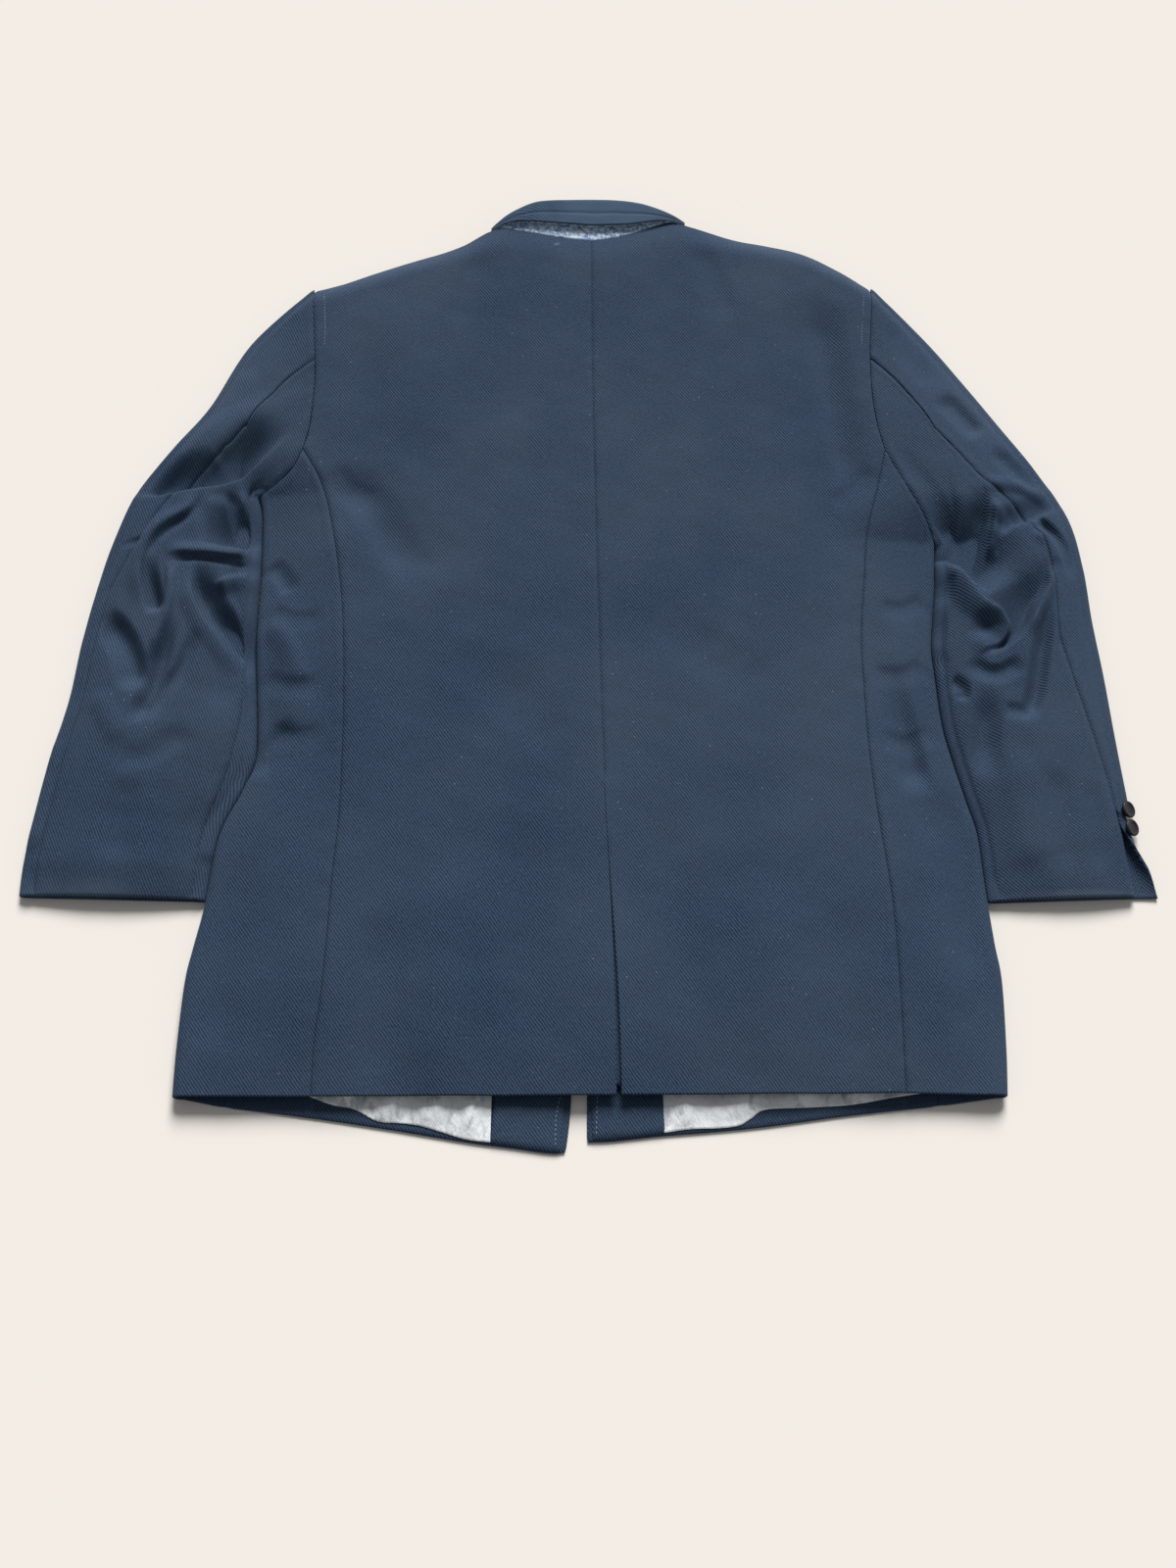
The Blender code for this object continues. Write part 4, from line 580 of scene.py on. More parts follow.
def turn_round(sheet, reaches, ways, high, low):
    """The rounded end of a flattened tube, from the upper sheet round to the lower one."""
    angle = np.pi * np.arange(TURN_STEPS + 1) / TURN_STEPS
    middle = 0.5 * (high + low)
    radius = 0.5 * (high - low)
    faces = []
    for thinner in (0.0, WOOL):
        reach = (reaches - thinner)[:, None] * np.sin(angle)[None]
        plan = sheet[:, None] + ways[:, None] * reach[..., None]
        height = middle[:, None] + (radius - thinner)[:, None] * np.cos(angle)[None]
        faces.append(np.concatenate([plan, height[..., None]], axis=-1))
    return faces


def turn_to(sheet, end, high, low):
    """A rounded end that reaches out to a given line."""
    reach = end - sheet
    size = np.linalg.norm(reach, axis=1)
    return turn_round(sheet, size, reach / size[:, None], high, low)


def side_by_side(*grids):
    return np.concatenate([grids[0]] + [grid[:, 1:] for grid in grids[1:]], axis=1)


def part_seams(grid, borders, gap=SEAM):
    """Draw the named borders back from their seam."""
    grid = grid.copy()
    turned = grid.swapaxes(0, 1)
    for border, lines, edge, beside in (("first row", grid, 0, 1), ("last row", grid, -1, -2),
                                        ("first column", turned, 0, 1), ("last column", turned, -1, -2)):
        if border in borders:
            step = lines[beside] - lines[edge]
            size = np.linalg.norm(step, axis=-1, keepdims=True)
            lines[edge] += step / np.maximum(size, 1e-9) * np.minimum(gap, 0.5 * size)
    return grid


def weave_places(outer, way, flat_from=0, outward=1.0):
    """Weave places along and across a way in plan, unrolled beyond the first flat column."""
    across = outer[..., :2] @ np.array([way[1], -way[0]])
    if flat_from:
        steps = np.hypot(np.diff(across, axis=1), np.diff(outer[..., 2], axis=1))[:, :flat_from]
        rolled = np.cumsum(steps[:, ::-1], axis=1)[:, ::-1]
        across[:, :flat_from] = across[:, flat_from:flat_from + 1] + outward * rolled
    return np.stack([across, outer[..., :2] @ np.asarray(way)], -1)


def finish_piece(piece, nodes):
    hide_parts(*nodes)
    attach(piece, "root")
    return piece


def place_object(name, data):
    made = bpy.data.objects.new(name, data)
    bpy.context.scene.collection.objects.link(made)
    return made


def mesh_piece(name, points, faces, material, weave=None, sharp=1.05):
    mesh = bpy.data.meshes.new(name)
    mesh.from_pydata(points, [], faces)
    shape = bmesh.new()
    shape.from_mesh(mesh)
    bmesh.ops.recalc_face_normals(shape, faces=shape.faces)
    shape.to_mesh(mesh)
    shape.free()
    if weave is not None:
        corners = np.empty(len(mesh.loops), dtype=np.int32)
        mesh.loops.foreach_get("vertex_index", corners)
        layer = mesh.uv_layers.new(name="weave")
        layer.data.foreach_set("uv", weave[corners].astype(np.float32).ravel())
    mesh.shade_smooth()
    mesh.set_sharp_from_angle(angle=sharp)
    mesh.materials.append(material)
    return place_object(name, mesh)


def cloth(node, outer, inner, material, open_edges, grain):
    """A shell of cloth between two grids. Open edges are rounded as a folded hem is."""
    rows, columns = outer.shape[:2]
    index = np.arange(rows * columns).reshape(rows, columns)
    a = index[:-1, :-1].ravel()
    b = index[:-1, 1:].ravel()
    c = index[1:, 1:].ravel()
    d = index[1:, :-1].ravel()
    count = rows * columns
    quads = [np.stack([a, b, c, d], 1), np.stack([a, d, c, b], 1) + count]
    ring = np.concatenate([index[0, :-1], index[:-1, -1], index[-1, :0:-1], index[:0:-1, 0]])
    inside = np.concatenate([index[1, :-1], index[:-1, -2], index[-2, :0:-1], index[:0:-1, 1]])
    names = (["first row"] * (columns - 1) + ["last column"] * (rows - 1)
             + ["last row"] * (columns - 1) + ["first column"] * (rows - 1))
    flat_outer = outer.reshape(-1, 3)
    flat_inner = inner.reshape(-1, 3)
    middle = 0.5 * (flat_outer[ring] + flat_inner[ring])
    away = flat_outer[ring] - flat_outer[inside]
    away /= np.maximum(np.linalg.norm(away, axis=1, keepdims=True), 1e-9)
    bulge = np.array([HEM_BULGE if edge in open_edges else 0.0 for edge in names])
    middle = middle + away * bulge[:, None]
    rim = 2 * count + np.arange(len(ring))
    following = np.roll(np.arange(len(ring)), -1)
    quads.append(np.stack([ring, ring[following], rim[following], rim], 1))
    quads.append(np.stack([rim, rim[following], ring[following] + count, ring + count], 1))
    points = np.concatenate([flat_outer, flat_inner, middle])
    flat_grain = grain.reshape(-1, 2)
    weave = np.concatenate([flat_grain, flat_grain, flat_grain[ring]])
    quads = np.concatenate(quads).tolist()
    piece = mesh_piece(node + "_cloth", points.tolist(), quads, material, weave)
    return finish_piece(piece, [node])


def sewn_cloth(node, faces, borders, open_edges, grain):
    """A navy panel whose named borders are drawn back from their seams."""
    outer, inner = [part_seams(face, borders) for face in faces]
    return cloth(node, outer, inner, navy, open_edges, grain)


# Materials

def new_group(name, inputs, outputs):
    group = bpy.data.node_groups.new(name, "ShaderNodeTree")
    for socket, kind, value in inputs:
        made = group.interface.new_socket(name=socket, in_out="INPUT", socket_type=kind)
        if value is not None:
            made.default_value = value
    for socket, kind in outputs:
        group.interface.new_socket(name=socket, in_out="OUTPUT", socket_type=kind)
    return group


class Wiring:
    """Adds nodes to a tree and links them."""

    def __init__(self, tree):
        self.tree = tree

    def connect(self, node, inputs):
        """Link sockets to a node's inputs, and set inputs that are given plain values."""
        for key, value in inputs.items():
            if isinstance(value, bpy.types.NodeSocket):
                self.tree.links.new(value, node.inputs[key])
            else:
                node.inputs[key].default_value = value

    def add(self, kind, inputs=None, **settings):
        node = self.tree.nodes.new(kind)
        for key, value in settings.items():
            setattr(node, key, value)
        self.connect(node, inputs or {})
        return node

    def math(self, operation, first, second=0.5, third=0.5):
        node = self.add("ShaderNodeMath", {0: first, 1: second, 2: third}, operation=operation)
        return node.outputs[0]

    def noise(self, vector, scale, detail=2.0, roughness=0.5):
        node = self.add("ShaderNodeTexNoise", {"Vector": vector, "Scale": scale, "Detail": detail,
                                               "Roughness": roughness})
        return node.outputs["Fac"]

    def band(self, value, low, high):
        node = self.add("ShaderNodeMapRange", {"Value": value, "From Min": low, "From Max": high})
        return node.outputs["Result"]

    def mix(self, factor, first, second):
        return self.add("ShaderNodeMix", {0: factor, 6: first, 7: second}, data_type="RGBA").outputs[2]

    def place(self):
        return self.add("ShaderNodeTexCoord").outputs["Object"]

    def weave(self):
        return self.add("ShaderNodeUVMap", uv_map="weave").outputs["UV"]

    def stretched(self, vector, **inputs):
        return self.add("ShaderNodeMapping", {"Vector": vector, **inputs}).outputs["Vector"]

    def bump(self, height, strength, distance, **inputs):
        inputs = {"Height": height, "Strength": strength, "Distance": distance, **inputs}
        return self.add("ShaderNodeBump", inputs).outputs["Normal"]

    def group(self, tree, **inputs):
        return self.add("ShaderNodeGroup", inputs, node_tree=tree).outputs


def twill_group():
    """Diagonal ridges of a twill, broken into threads."""
    group = new_group("twill_weave",
                      [("Weave", "NodeSocketVector", None), ("Pitch", "NodeSocketFloat", 0.002),
                       ("Breaks", "NodeSocketFloat", 0.5)],
                      [("Height", "NodeSocketFloat"), ("Thread", "NodeSocketFloat")])
    w = Wiring(group)
    entry = w.add("NodeGroupInput")
    place = w.add("ShaderNodeSeparateXYZ", {0: entry.outputs["Weave"]})
    u = place.outputs["X"]
    v = place.outputs["Y"]
    across = w.math("ADD", w.math("MULTIPLY", u, 0.819), w.math("MULTIPLY", v, 0.574))
    along = w.math("SUBTRACT", w.math("MULTIPLY", u, 0.574), w.math("MULTIPLY", v, 0.819))
    drift = w.noise(entry.outputs["Weave"], 160.0, 3.0)
    across = w.math("MULTIPLY_ADD", drift, 0.0011, across)
    turns = w.math("MULTIPLY", w.math("DIVIDE", across, entry.outputs["Pitch"]), 2.0 * math.pi)
    ridge = w.math("MULTIPLY_ADD", w.math("SINE", turns), 0.5, 0.5)
    steps = w.math("MULTIPLY", w.math("DIVIDE", along, entry.outputs["Pitch"]), 2.9 * math.pi)
    cross = w.math("MULTIPLY_ADD", w.math("SINE", w.math("ADD", steps, turns)), 0.5, 0.5)
    broken = w.math("MULTIPLY", w.math("MULTIPLY", cross, ridge), entry.outputs["Breaks"])
    fibre = w.noise(entry.outputs["Weave"], 2600.0, 2.0, 0.7)
    height = w.math("ADD", w.math("MULTIPLY", ridge, 0.7), broken)
    height = w.math("MULTIPLY_ADD", fibre, 0.35, height)
    thread = w.math("MULTIPLY", w.math("ADD", height, w.noise(entry.outputs["Weave"], 420.0, 3.0)), 0.5)
    w.add("NodeGroupOutput", {"Height": height, "Thread": thread})
    return group


def lint_group():
    """Sparse pale specks and short hairs caught on cloth."""
    group = new_group("lint", [("Place", "NodeSocketVector", None), ("Amount", "NodeSocketFloat", 0.5)],
                      [("Specks", "NodeSocketFloat")])
    w = Wiring(group)
    entry = w.add("NodeGroupInput")
    small = w.add("ShaderNodeTexVoronoi", {"Vector": entry.outputs["Place"], "Scale": 95.0})
    dots = w.math("LESS_THAN", small.outputs["Distance"], 0.045)
    chosen = w.math("GREATER_THAN", w.noise(entry.outputs["Place"], 23.0, 2.0), 0.56)
    drawn = w.stretched(entry.outputs["Place"], Rotation=(0.3, 0.5, 0.9), Scale=(1.0, 9.0, 1.0))
    hair = w.add("ShaderNodeTexVoronoi", {"Vector": drawn, "Scale": 34.0})
    hairs = w.math("LESS_THAN", hair.outputs["Distance"], 0.040)
    found = w.math("MAXIMUM", w.math("MULTIPLY", dots, chosen), w.math("MULTIPLY", hairs, 0.7))
    w.add("NodeGroupOutput", {"Specks": w.math("MULTIPLY", found, entry.outputs["Amount"])})
    return group


def cloud_group():
    """Broad, soft patches where a finish is a little lighter or darker."""
    group = new_group("uneven_finish",
                      [("Place", "NodeSocketVector", None), ("Size", "NodeSocketFloat", 6.0)],
                      [("Patches", "NodeSocketFloat")])
    w = Wiring(group)
    entry = w.add("NodeGroupInput")
    large = w.noise(entry.outputs["Place"], entry.outputs["Size"], 4.0, 0.6)
    w.add("NodeGroupOutput", {"Patches": w.band(large, 0.32, 0.68)})
    return group


TWILL = twill_group()
LINT = lint_group()
CLOUDS = cloud_group()


def start_material(name, **sockets):
    made = bpy.data.materials.new(name)
    made.use_nodes = True
    shader = made.node_tree.nodes["Principled BSDF"]
    for socket, value in sockets.items():
        label = socket.replace("_", " ").title().replace("Ior", "IOR")
        shader.inputs[label].default_value = value
    return made, Wiring(made.node_tree), shader


def twill_material(name, dark, light, worn, wear_place=None, wear_size=0.03, wear_shape=(1.0, 1.0, 0.0)):
    """Napped wool twill. A worn place is where the nap has rubbed to a paler blue."""
    made, w, shader = start_material(name, roughness=0.86, sheen_weight=0.05, sheen_roughness=0.45,
                                     specular_ior_level=0.15)
    shader.inputs["Sheen Tint"].default_value = (0.55, 0.70, 0.95, 1.0)
    place = w.place()
    twill = w.group(TWILL, Weave=w.weave(), Pitch=0.0021, Breaks=0.45)
    patches = w.group(CLOUDS, Place=place, Size=7.0)["Patches"]
    lint = w.group(LINT, Place=place, Amount=0.5)
    colour = w.mix(w.band(twill["Thread"], 0.25, 0.85), dark, light)
    colour = w.mix(w.math("MULTIPLY", patches, 0.22), colour, worn)
    if wear_place is not None:
        from_middle = w.add("ShaderNodeVectorMath", {0: place, 1: wear_place}, operation="SUBTRACT")
        squeezed = w.add("ShaderNodeVectorMath", {0: from_middle.outputs[0], 1: wear_shape},
                         operation="MULTIPLY")
        spot = w.add("ShaderNodeVectorMath", {0: squeezed.outputs[0]}, operation="LENGTH")
        rubbed = w.band(spot.outputs["Value"], wear_size, 0.25 * wear_size)
        rubbed = w.math("MULTIPLY", rubbed, w.band(patches, 0.10, 0.60))
        colour = w.mix(w.math("MULTIPLY", rubbed, 0.8), colour, worn)
    colour = w.mix(lint["Specks"], colour, (0.34, 0.40, 0.47, 1.0))
    w.connect(shader, {"Base Color": colour, "Roughness": w.math("MULTIPLY_ADD", patches, -0.06, 0.90),
                       "Normal": w.bump(twill["Height"], 0.40, 0.0004)})
    return made


def felt_material():
    """Pressed felt, flecked pale and dark."""
    made, w, shader = start_material("undercollar_felt", roughness=0.95, sheen_weight=0.2,
                                     specular_ior_level=0.15)
    place = w.place()
    patches = w.group(CLOUDS, Place=place, Size=40.0)["Patches"]
    fleck = w.noise(place, 300.0, 4.0, 0.75)
    colour = w.mix(w.band(fleck, 0.40, 0.60), (0.100, 0.190, 0.420, 1.0), (0.800, 0.930, 1.000, 1.0))
    colour = w.mix(w.math("MULTIPLY", patches, 0.25), colour, (0.560, 0.740, 0.980, 1.0))
    w.connect(shader, {"Base Color": colour, "Normal": w.bump(fleck, 0.6, 0.0004)})
    return made


def lining_material():
    """Silver grey satin with a fine diagonal and small puckers, with painted shade in the puckers'
    troughs.
    """
    made, w, shader = start_material("silver_lining", roughness=0.36, sheen_weight=0.15,
                                     specular_ior_level=0.5)
    place = w.place()
    twill = w.group(TWILL, Weave=w.weave(), Pitch=0.0017, Breaks=0.25)
    patches = w.group(CLOUDS, Place=place, Size=16.0)["Patches"]
    colour = w.mix(w.band(twill["Thread"], 0.2, 0.9), (0.62, 0.68, 0.74, 1.0), (0.98, 0.99, 1.00, 1.0))
    colour = w.mix(w.math("MULTIPLY", patches, 0.4), colour, (0.86, 0.90, 0.94, 1.0))
    crinkle = w.noise(w.stretched(place, Rotation=(0.0, 0.0, 0.5), Scale=(1.0, 0.45, 1.0)),
                      110.0, 3.0, 0.55)
    # Painted shade: the satin's colour is darkened where the pucker noise dips, standing in for shade in
    # the troughs
    painted_pucker_shade = w.math("MULTIPLY", w.band(crinkle, 0.46, 0.34), 0.55)
    colour = w.mix(painted_pucker_shade, colour, (0.24, 0.27, 0.31, 1.0))
    bump = w.bump(twill["Height"], 0.25, 0.0002, Normal=w.bump(crinkle, 0.9, 0.0030))
    w.connect(shader, {"Base Color": colour, "Normal": bump})
    return made


def horn_material():
    """Dark button horn, faintly streaked."""
    made, w, shader = start_material("dark_button", roughness=0.45, coat_weight=0.08,
                                     coat_roughness=0.3, specular_ior_level=0.3)
    place = w.place()
    grain = w.noise(w.stretched(place, Scale=(1.0, 4.0, 1.0)), 260.0, 4.0, 0.6)
    colour = w.mix(w.band(grain, 0.35, 0.70), (0.005, 0.006, 0.010, 1.0), (0.022, 0.023, 0.028, 1.0))
    w.connect(shader, {"Base Color": colour, "Roughness": w.math("MULTIPLY_ADD", grain, 0.25, 0.34)})
    return made


def thread_material(name, dark, light):
    made, w, shader = start_material(name, roughness=0.60, sheen_weight=0.2)
    twist = w.noise(w.place(), 1500.0, 2.0, 0.6)
    w.connect(shader, {"Base Color": w.mix(twist, dark, light), "Normal": w.bump(twist, 0.4, 0.0002)})
    return made


NAVY_DARK = (0.0040, 0.0120, 0.0310, 1.0)
NAVY_LIGHT = (0.0480, 0.0830, 0.1450, 1.0)
NAVY_WORN = (0.0800, 0.1150, 0.1650, 1.0)
navy = twill_material("navy_twill", NAVY_DARK, NAVY_LIGHT, NAVY_WORN)
navy_left_sleeve = twill_material("navy_twill_left_sleeve", NAVY_DARK, NAVY_LIGHT, NAVY_WORN,
                                  (-0.415, -0.2270, 0.0), 0.075, (1.0, 4.5, 0.0))
navy_right_sleeve = twill_material("navy_twill_right_sleeve", NAVY_DARK, NAVY_LIGHT, NAVY_WORN,
                                   (0.385, -0.2300, 0.0), 0.070, (1.0, 9.0, 0.0))
navy_collar = twill_material("navy_twill_collar", NAVY_DARK, NAVY_LIGHT, (0.0620, 0.1020, 0.1650, 1.0),
                             (0.003, 0.410, 0.0), 0.16, (1.0, 1.0, 0.0))
felt = felt_material()
lining_satin = lining_material()
horn = horn_material()
navy_thread = thread_material("navy_thread", (0.085, 0.120, 0.180, 1.0), (0.240, 0.300, 0.390, 1.0))


# Body panels

class SideLines:
    """The seam lines of one side, read at this cloth's own corners."""

    def __init__(self, side):
        self.side = side
        self.seam_length = length_of(SIDE_SEAM[side])
        self.arm_length = length_of(ARMHOLE[side])
        self.seam_shares = spread(self.seam_length, first=True, last=True)
        self.arm_shares = spread(self.arm_length, first=True, last=True)
        self.side_seam = read_line(SIDE_SEAM[side], self.seam_shares)
        self.armhole = read_line(ARMHOLE[side], self.arm_shares)
        low = SIDE_SEAM[side][0][1]
        self.junction = (SIDE_SEAM[side][-1][1] - low) / (ARMHOLE[side][-1][1] - low)
        self.row_shares = np.concatenate([self.junction * self.seam_shares,
                                          blend(self.junction, 1.0, self.arm_shares[1:])])
        length = length_of(UNDERARM[side])
        self.turn_share = 1.0 - TURN / length
        self.edge = read_line(BODY_EDGE[side], self.seam_shares)
        inset = [(x - OUTWARD[side] * TURN, y) for x, y in BODY_EDGE[side][:-1]]
        inset.append(tuple(read_line(UNDERARM[side], [self.turn_share])[0]))
        self.edge_inset = read_line(inset, self.seam_shares)


def back_panel(lines):
    side = lines.side
    centre = read_line(CENTRE_SEAM, lines.row_shares)
    opening = ease((VENT_TOP_Y - centre[:, 1]) / (VENT_TOP_Y - CENTRE_SEAM[0][1]))
    centre[:, 0] += OUTWARD[side] * 0.5 * VENT_GAP_AT_HEM * opening
    outside = np.concatenate([lines.side_seam, lines.armhole[1:]])
    across = spread(BACK_WIDTH, first=True, last=True)
    top = read_line(TOP_LINE[side], across)
    hem = between(centre[0], outside[0], across[:, None])
    plan = patch(hem, top, centre, outside, across, lines.row_shares)
    height = back_height(plan)
    sewn = ease((plan[..., 1] - VENT_TOP_Y) / VENT_EASE)
    height += seam_dip(from_border(plan, "first column"), plan) * sewn
    height += seam_dip(from_border(plan, "last column"), plan)
    pressed_edge = VENT_EDGE_HEIGHT * np.exp(-(from_border(plan, "first column") / VENT_EDGE_WIDTH) ** 2)
    if side == RIGHT:
        height += pressed_edge * (1.0 - sewn)
    return sewn_cloth("back_" + side, two_faces(plan, height), ("first column", "last column", "last row"),
                      ("first row", "first column"), plan)


UNDERLAP_SHARES = (0.010, 0.345)
UNDERLAP_SIDES = (-0.010, 0.038)


def vent_underlap():
    foot = read_line(CENTRE_SEAM, np.linspace(*UNDERLAP_SHARES, 90))
    shifts = np.linspace(*UNDERLAP_SIDES, 18)
    plan = np.repeat(foot[:, None], len(shifts), axis=1)
    plan[..., 0] += shifts[None]
    outer, inner = two_faces(plan, back_height(plan) - WOOL - 2.0 * STACK - UNDERLAP_DROP)
    return cloth("vent_underlap", outer, inner, navy, ("first row", "first column"), plan)


def side_panel(lines):
    side = lines.side
    length = length_of(UNDERARM[side])
    across = spread(length - TURN + 0.045, first=True)
    top = read_line(UNDERARM[side], across * lines.turn_share)
    seam = lines.side_seam
    edge = lines.edge_inset
    hem = between(seam[0], edge[0], across[:, None])
    plan = patch(hem, top, seam, edge, across, lines.seam_shares)
    height = back_height(plan) + seam_dip(from_border(plan, "first column"), plan)
    height += seam_dip(from_border(plan, "last row"), plan, 0.0005)
    upper = two_faces(plan, height)

    front = read_line(FRONT_SEAM[side], lines.seam_shares)
    under = np.linspace(0.0, 1.0, 8)
    junction = np.array(UNDERARM[side][0])
    lower_hem = between(edge[0], front[0], under[:, None])
    lower_top = between(top[-1], junction, under[:, None])
    lower_plan = patch(lower_hem, lower_top, edge, front, under, lines.seam_shares)
    lift = under_lift(lower_plan[..., 1])
    lower = two_faces(lower_plan, lift, -WOOL)

    turned = turn_to(edge, lines.edge, height[:, -1], lift[:, 0])
    borders = ("first column", "last column", "last row")
    faces = [side_by_side(upper[k], turned[k], lower[k]) for k in (0, 1)]
    outer = part_seams(faces[0], borders)
    rolled = outer.shape[1] - plan.shape[1]
    grain = weave_places(outer[:, ::-1], (0.0, 1.0), rolled, OUTWARD[side])[:, ::-1]
    return sewn_cloth("side_" + side, faces, borders, ("first row",), grain)


def front_panel(lines):
    side = lines.side
    fine = np.linspace(0.0, 0.07, 18)
    along = np.concatenate([fine, np.linspace(0.07, lines.junction, 50)[1:],
                            np.linspace(lines.junction, 1.0, 22)[1:]])
    across = np.linspace(0.0, 1.0, 40)
    opening = read_line(FRONT_EDGE[side], along)
    places = [0.0, 0.39, 0.95, 1.0]
    corners = read_line(ARMHOLE[side], places)
    seam = read_line(FRONT_SEAM[side], np.clip(along / lines.junction, 0.0, 1.0))
    arm = (along - lines.junction) / (1.0 - lines.junction)
    arm_line = np.stack([np.interp(arm, places, corners[:, k]) for k in range(2)], -1)
    outside = np.where((along <= lines.junction)[:, None], seam, arm_line)
    hem = read_line(FRONT_HEM[side], across)
    shoulder = read_line(FRONT_SHOULDER[side], across)
    plan = patch(hem, shoulder, opening, outside, across, along)
    faces = two_faces(plan, under_lift(plan[..., 1]), -WOOL)
    return sewn_cloth("front_" + side, faces, ("last column", "last row"),
                      ("first row", "first column"), plan)


FACING_SHARES = (0.015, 0.215)
FACING_TOP_Y = -0.3400
LINING_FOOT = {
    LEFT: [(-0.0720, -0.4183), (-0.0901, -0.4160), (-0.1083, -0.4107), (-0.1229, -0.4063),
           (-0.1374, -0.4041), (-0.1556, -0.4026), (-0.1726, -0.3938), (-0.1902, -0.3901),
           (-0.2080, -0.3835)],
    RIGHT: [(0.0541, -0.4115), (0.0759, -0.4085), (0.0976, -0.4077), (0.1121, -0.4056),
            (0.1209, -0.4004), (0.1320, -0.3938), (0.1633, -0.3923), (0.1961, -0.3901),
            (0.2254, -0.3849), (0.2480, -0.3815)],
}
LINING_HEAD = {LEFT: [(-0.0710, -0.3400), (-0.2080, -0.3400)],
               RIGHT: [(0.0560, -0.3400), (0.2440, -0.3400)]}
RUCK_HEIGHT = 0.0030
RUCK_COUNT = 4.5


def facing(lines):
    side = lines.side
    across = np.linspace(0.0, 1.0, 20)
    along = np.linspace(0.0, 1.0, 30)
    foot = read_line(FRONT_HEM[side], blend(FACING_SHARES[0], FACING_SHARES[-1], across))
    foot[:, 1] += FACING_INSET
    width = foot[-1, 0] - foot[0, 0]
    head_x = read_line(FRONT_EDGE[side], [0.10])[0, 0] + OUTWARD[side] * FACING_INSET
    head = np.stack([head_x + width * across, np.full(len(across), FACING_TOP_Y)], -1)
    plan = between(foot[None], head[None], along[:, None, None])
    floor = WOOL + STACK
    edge = np.minimum(from_border(plan, "first row"), from_border(plan, "first column"))
    height = floor + WOOL - 0.0010 * np.exp(-(edge / 0.0018) ** 2)
    height += 0.00025 * ripple(plan, 0.020, 21) * rise(edge / 0.010)
    outer, inner = two_faces(plan, height)
    inner[..., 2] = floor
    return cloth("facing_" + side, outer, inner, navy,
                 ("first row", "first column", "last column"), plan)


def lining(lines):
    side = lines.side
    across = np.linspace(0.0, 1.0, 110 if side == LEFT else 160)
    along = np.concatenate([np.linspace(0.0, 0.3, 24), np.linspace(0.3, 1.0, 28)[1:]])
    foot = read_line(LINING_FOOT[side], across)
    head = read_line(LINING_HEAD[side], across)
    plan = between(foot[None], head[None], along[:, None, None])
    floor = WOOL + STACK
    u = across[None, :]
    v = along[:, None]
    wave = 0.5 - 0.5 * np.cos(2.0 * np.pi * RUCK_COUNT * u + 2.0 * v + 1.3 * ripple(plan, 0.08, 31))
    fine = 0.5 + 0.5 * ripple(plan * np.array([1.0, 0.4]), 0.010, 33)
    calm = rise(4.0 * v) * rise(6.0 * u) * rise(6.0 * (1.0 - u))
    height = floor + SATIN + (RUCK_HEIGHT * wave ** 2 + 0.0011 * fine) * calm
    outer, inner = two_faces(plan, height, SATIN)
    return cloth("lining_" + side, outer, inner, lining_satin, ("first row",), plan)


# Sleeves

def moved_sideways(points, distance):
    before = np.concatenate([points[:1], points[:-1]])
    after = np.concatenate([points[1:], points[-1:]])
    along = after - before
    along /= np.linalg.norm(along, axis=1, keepdims=True)
    return points + np.stack([-along[:, 1], along[:, 0]], -1) * distance


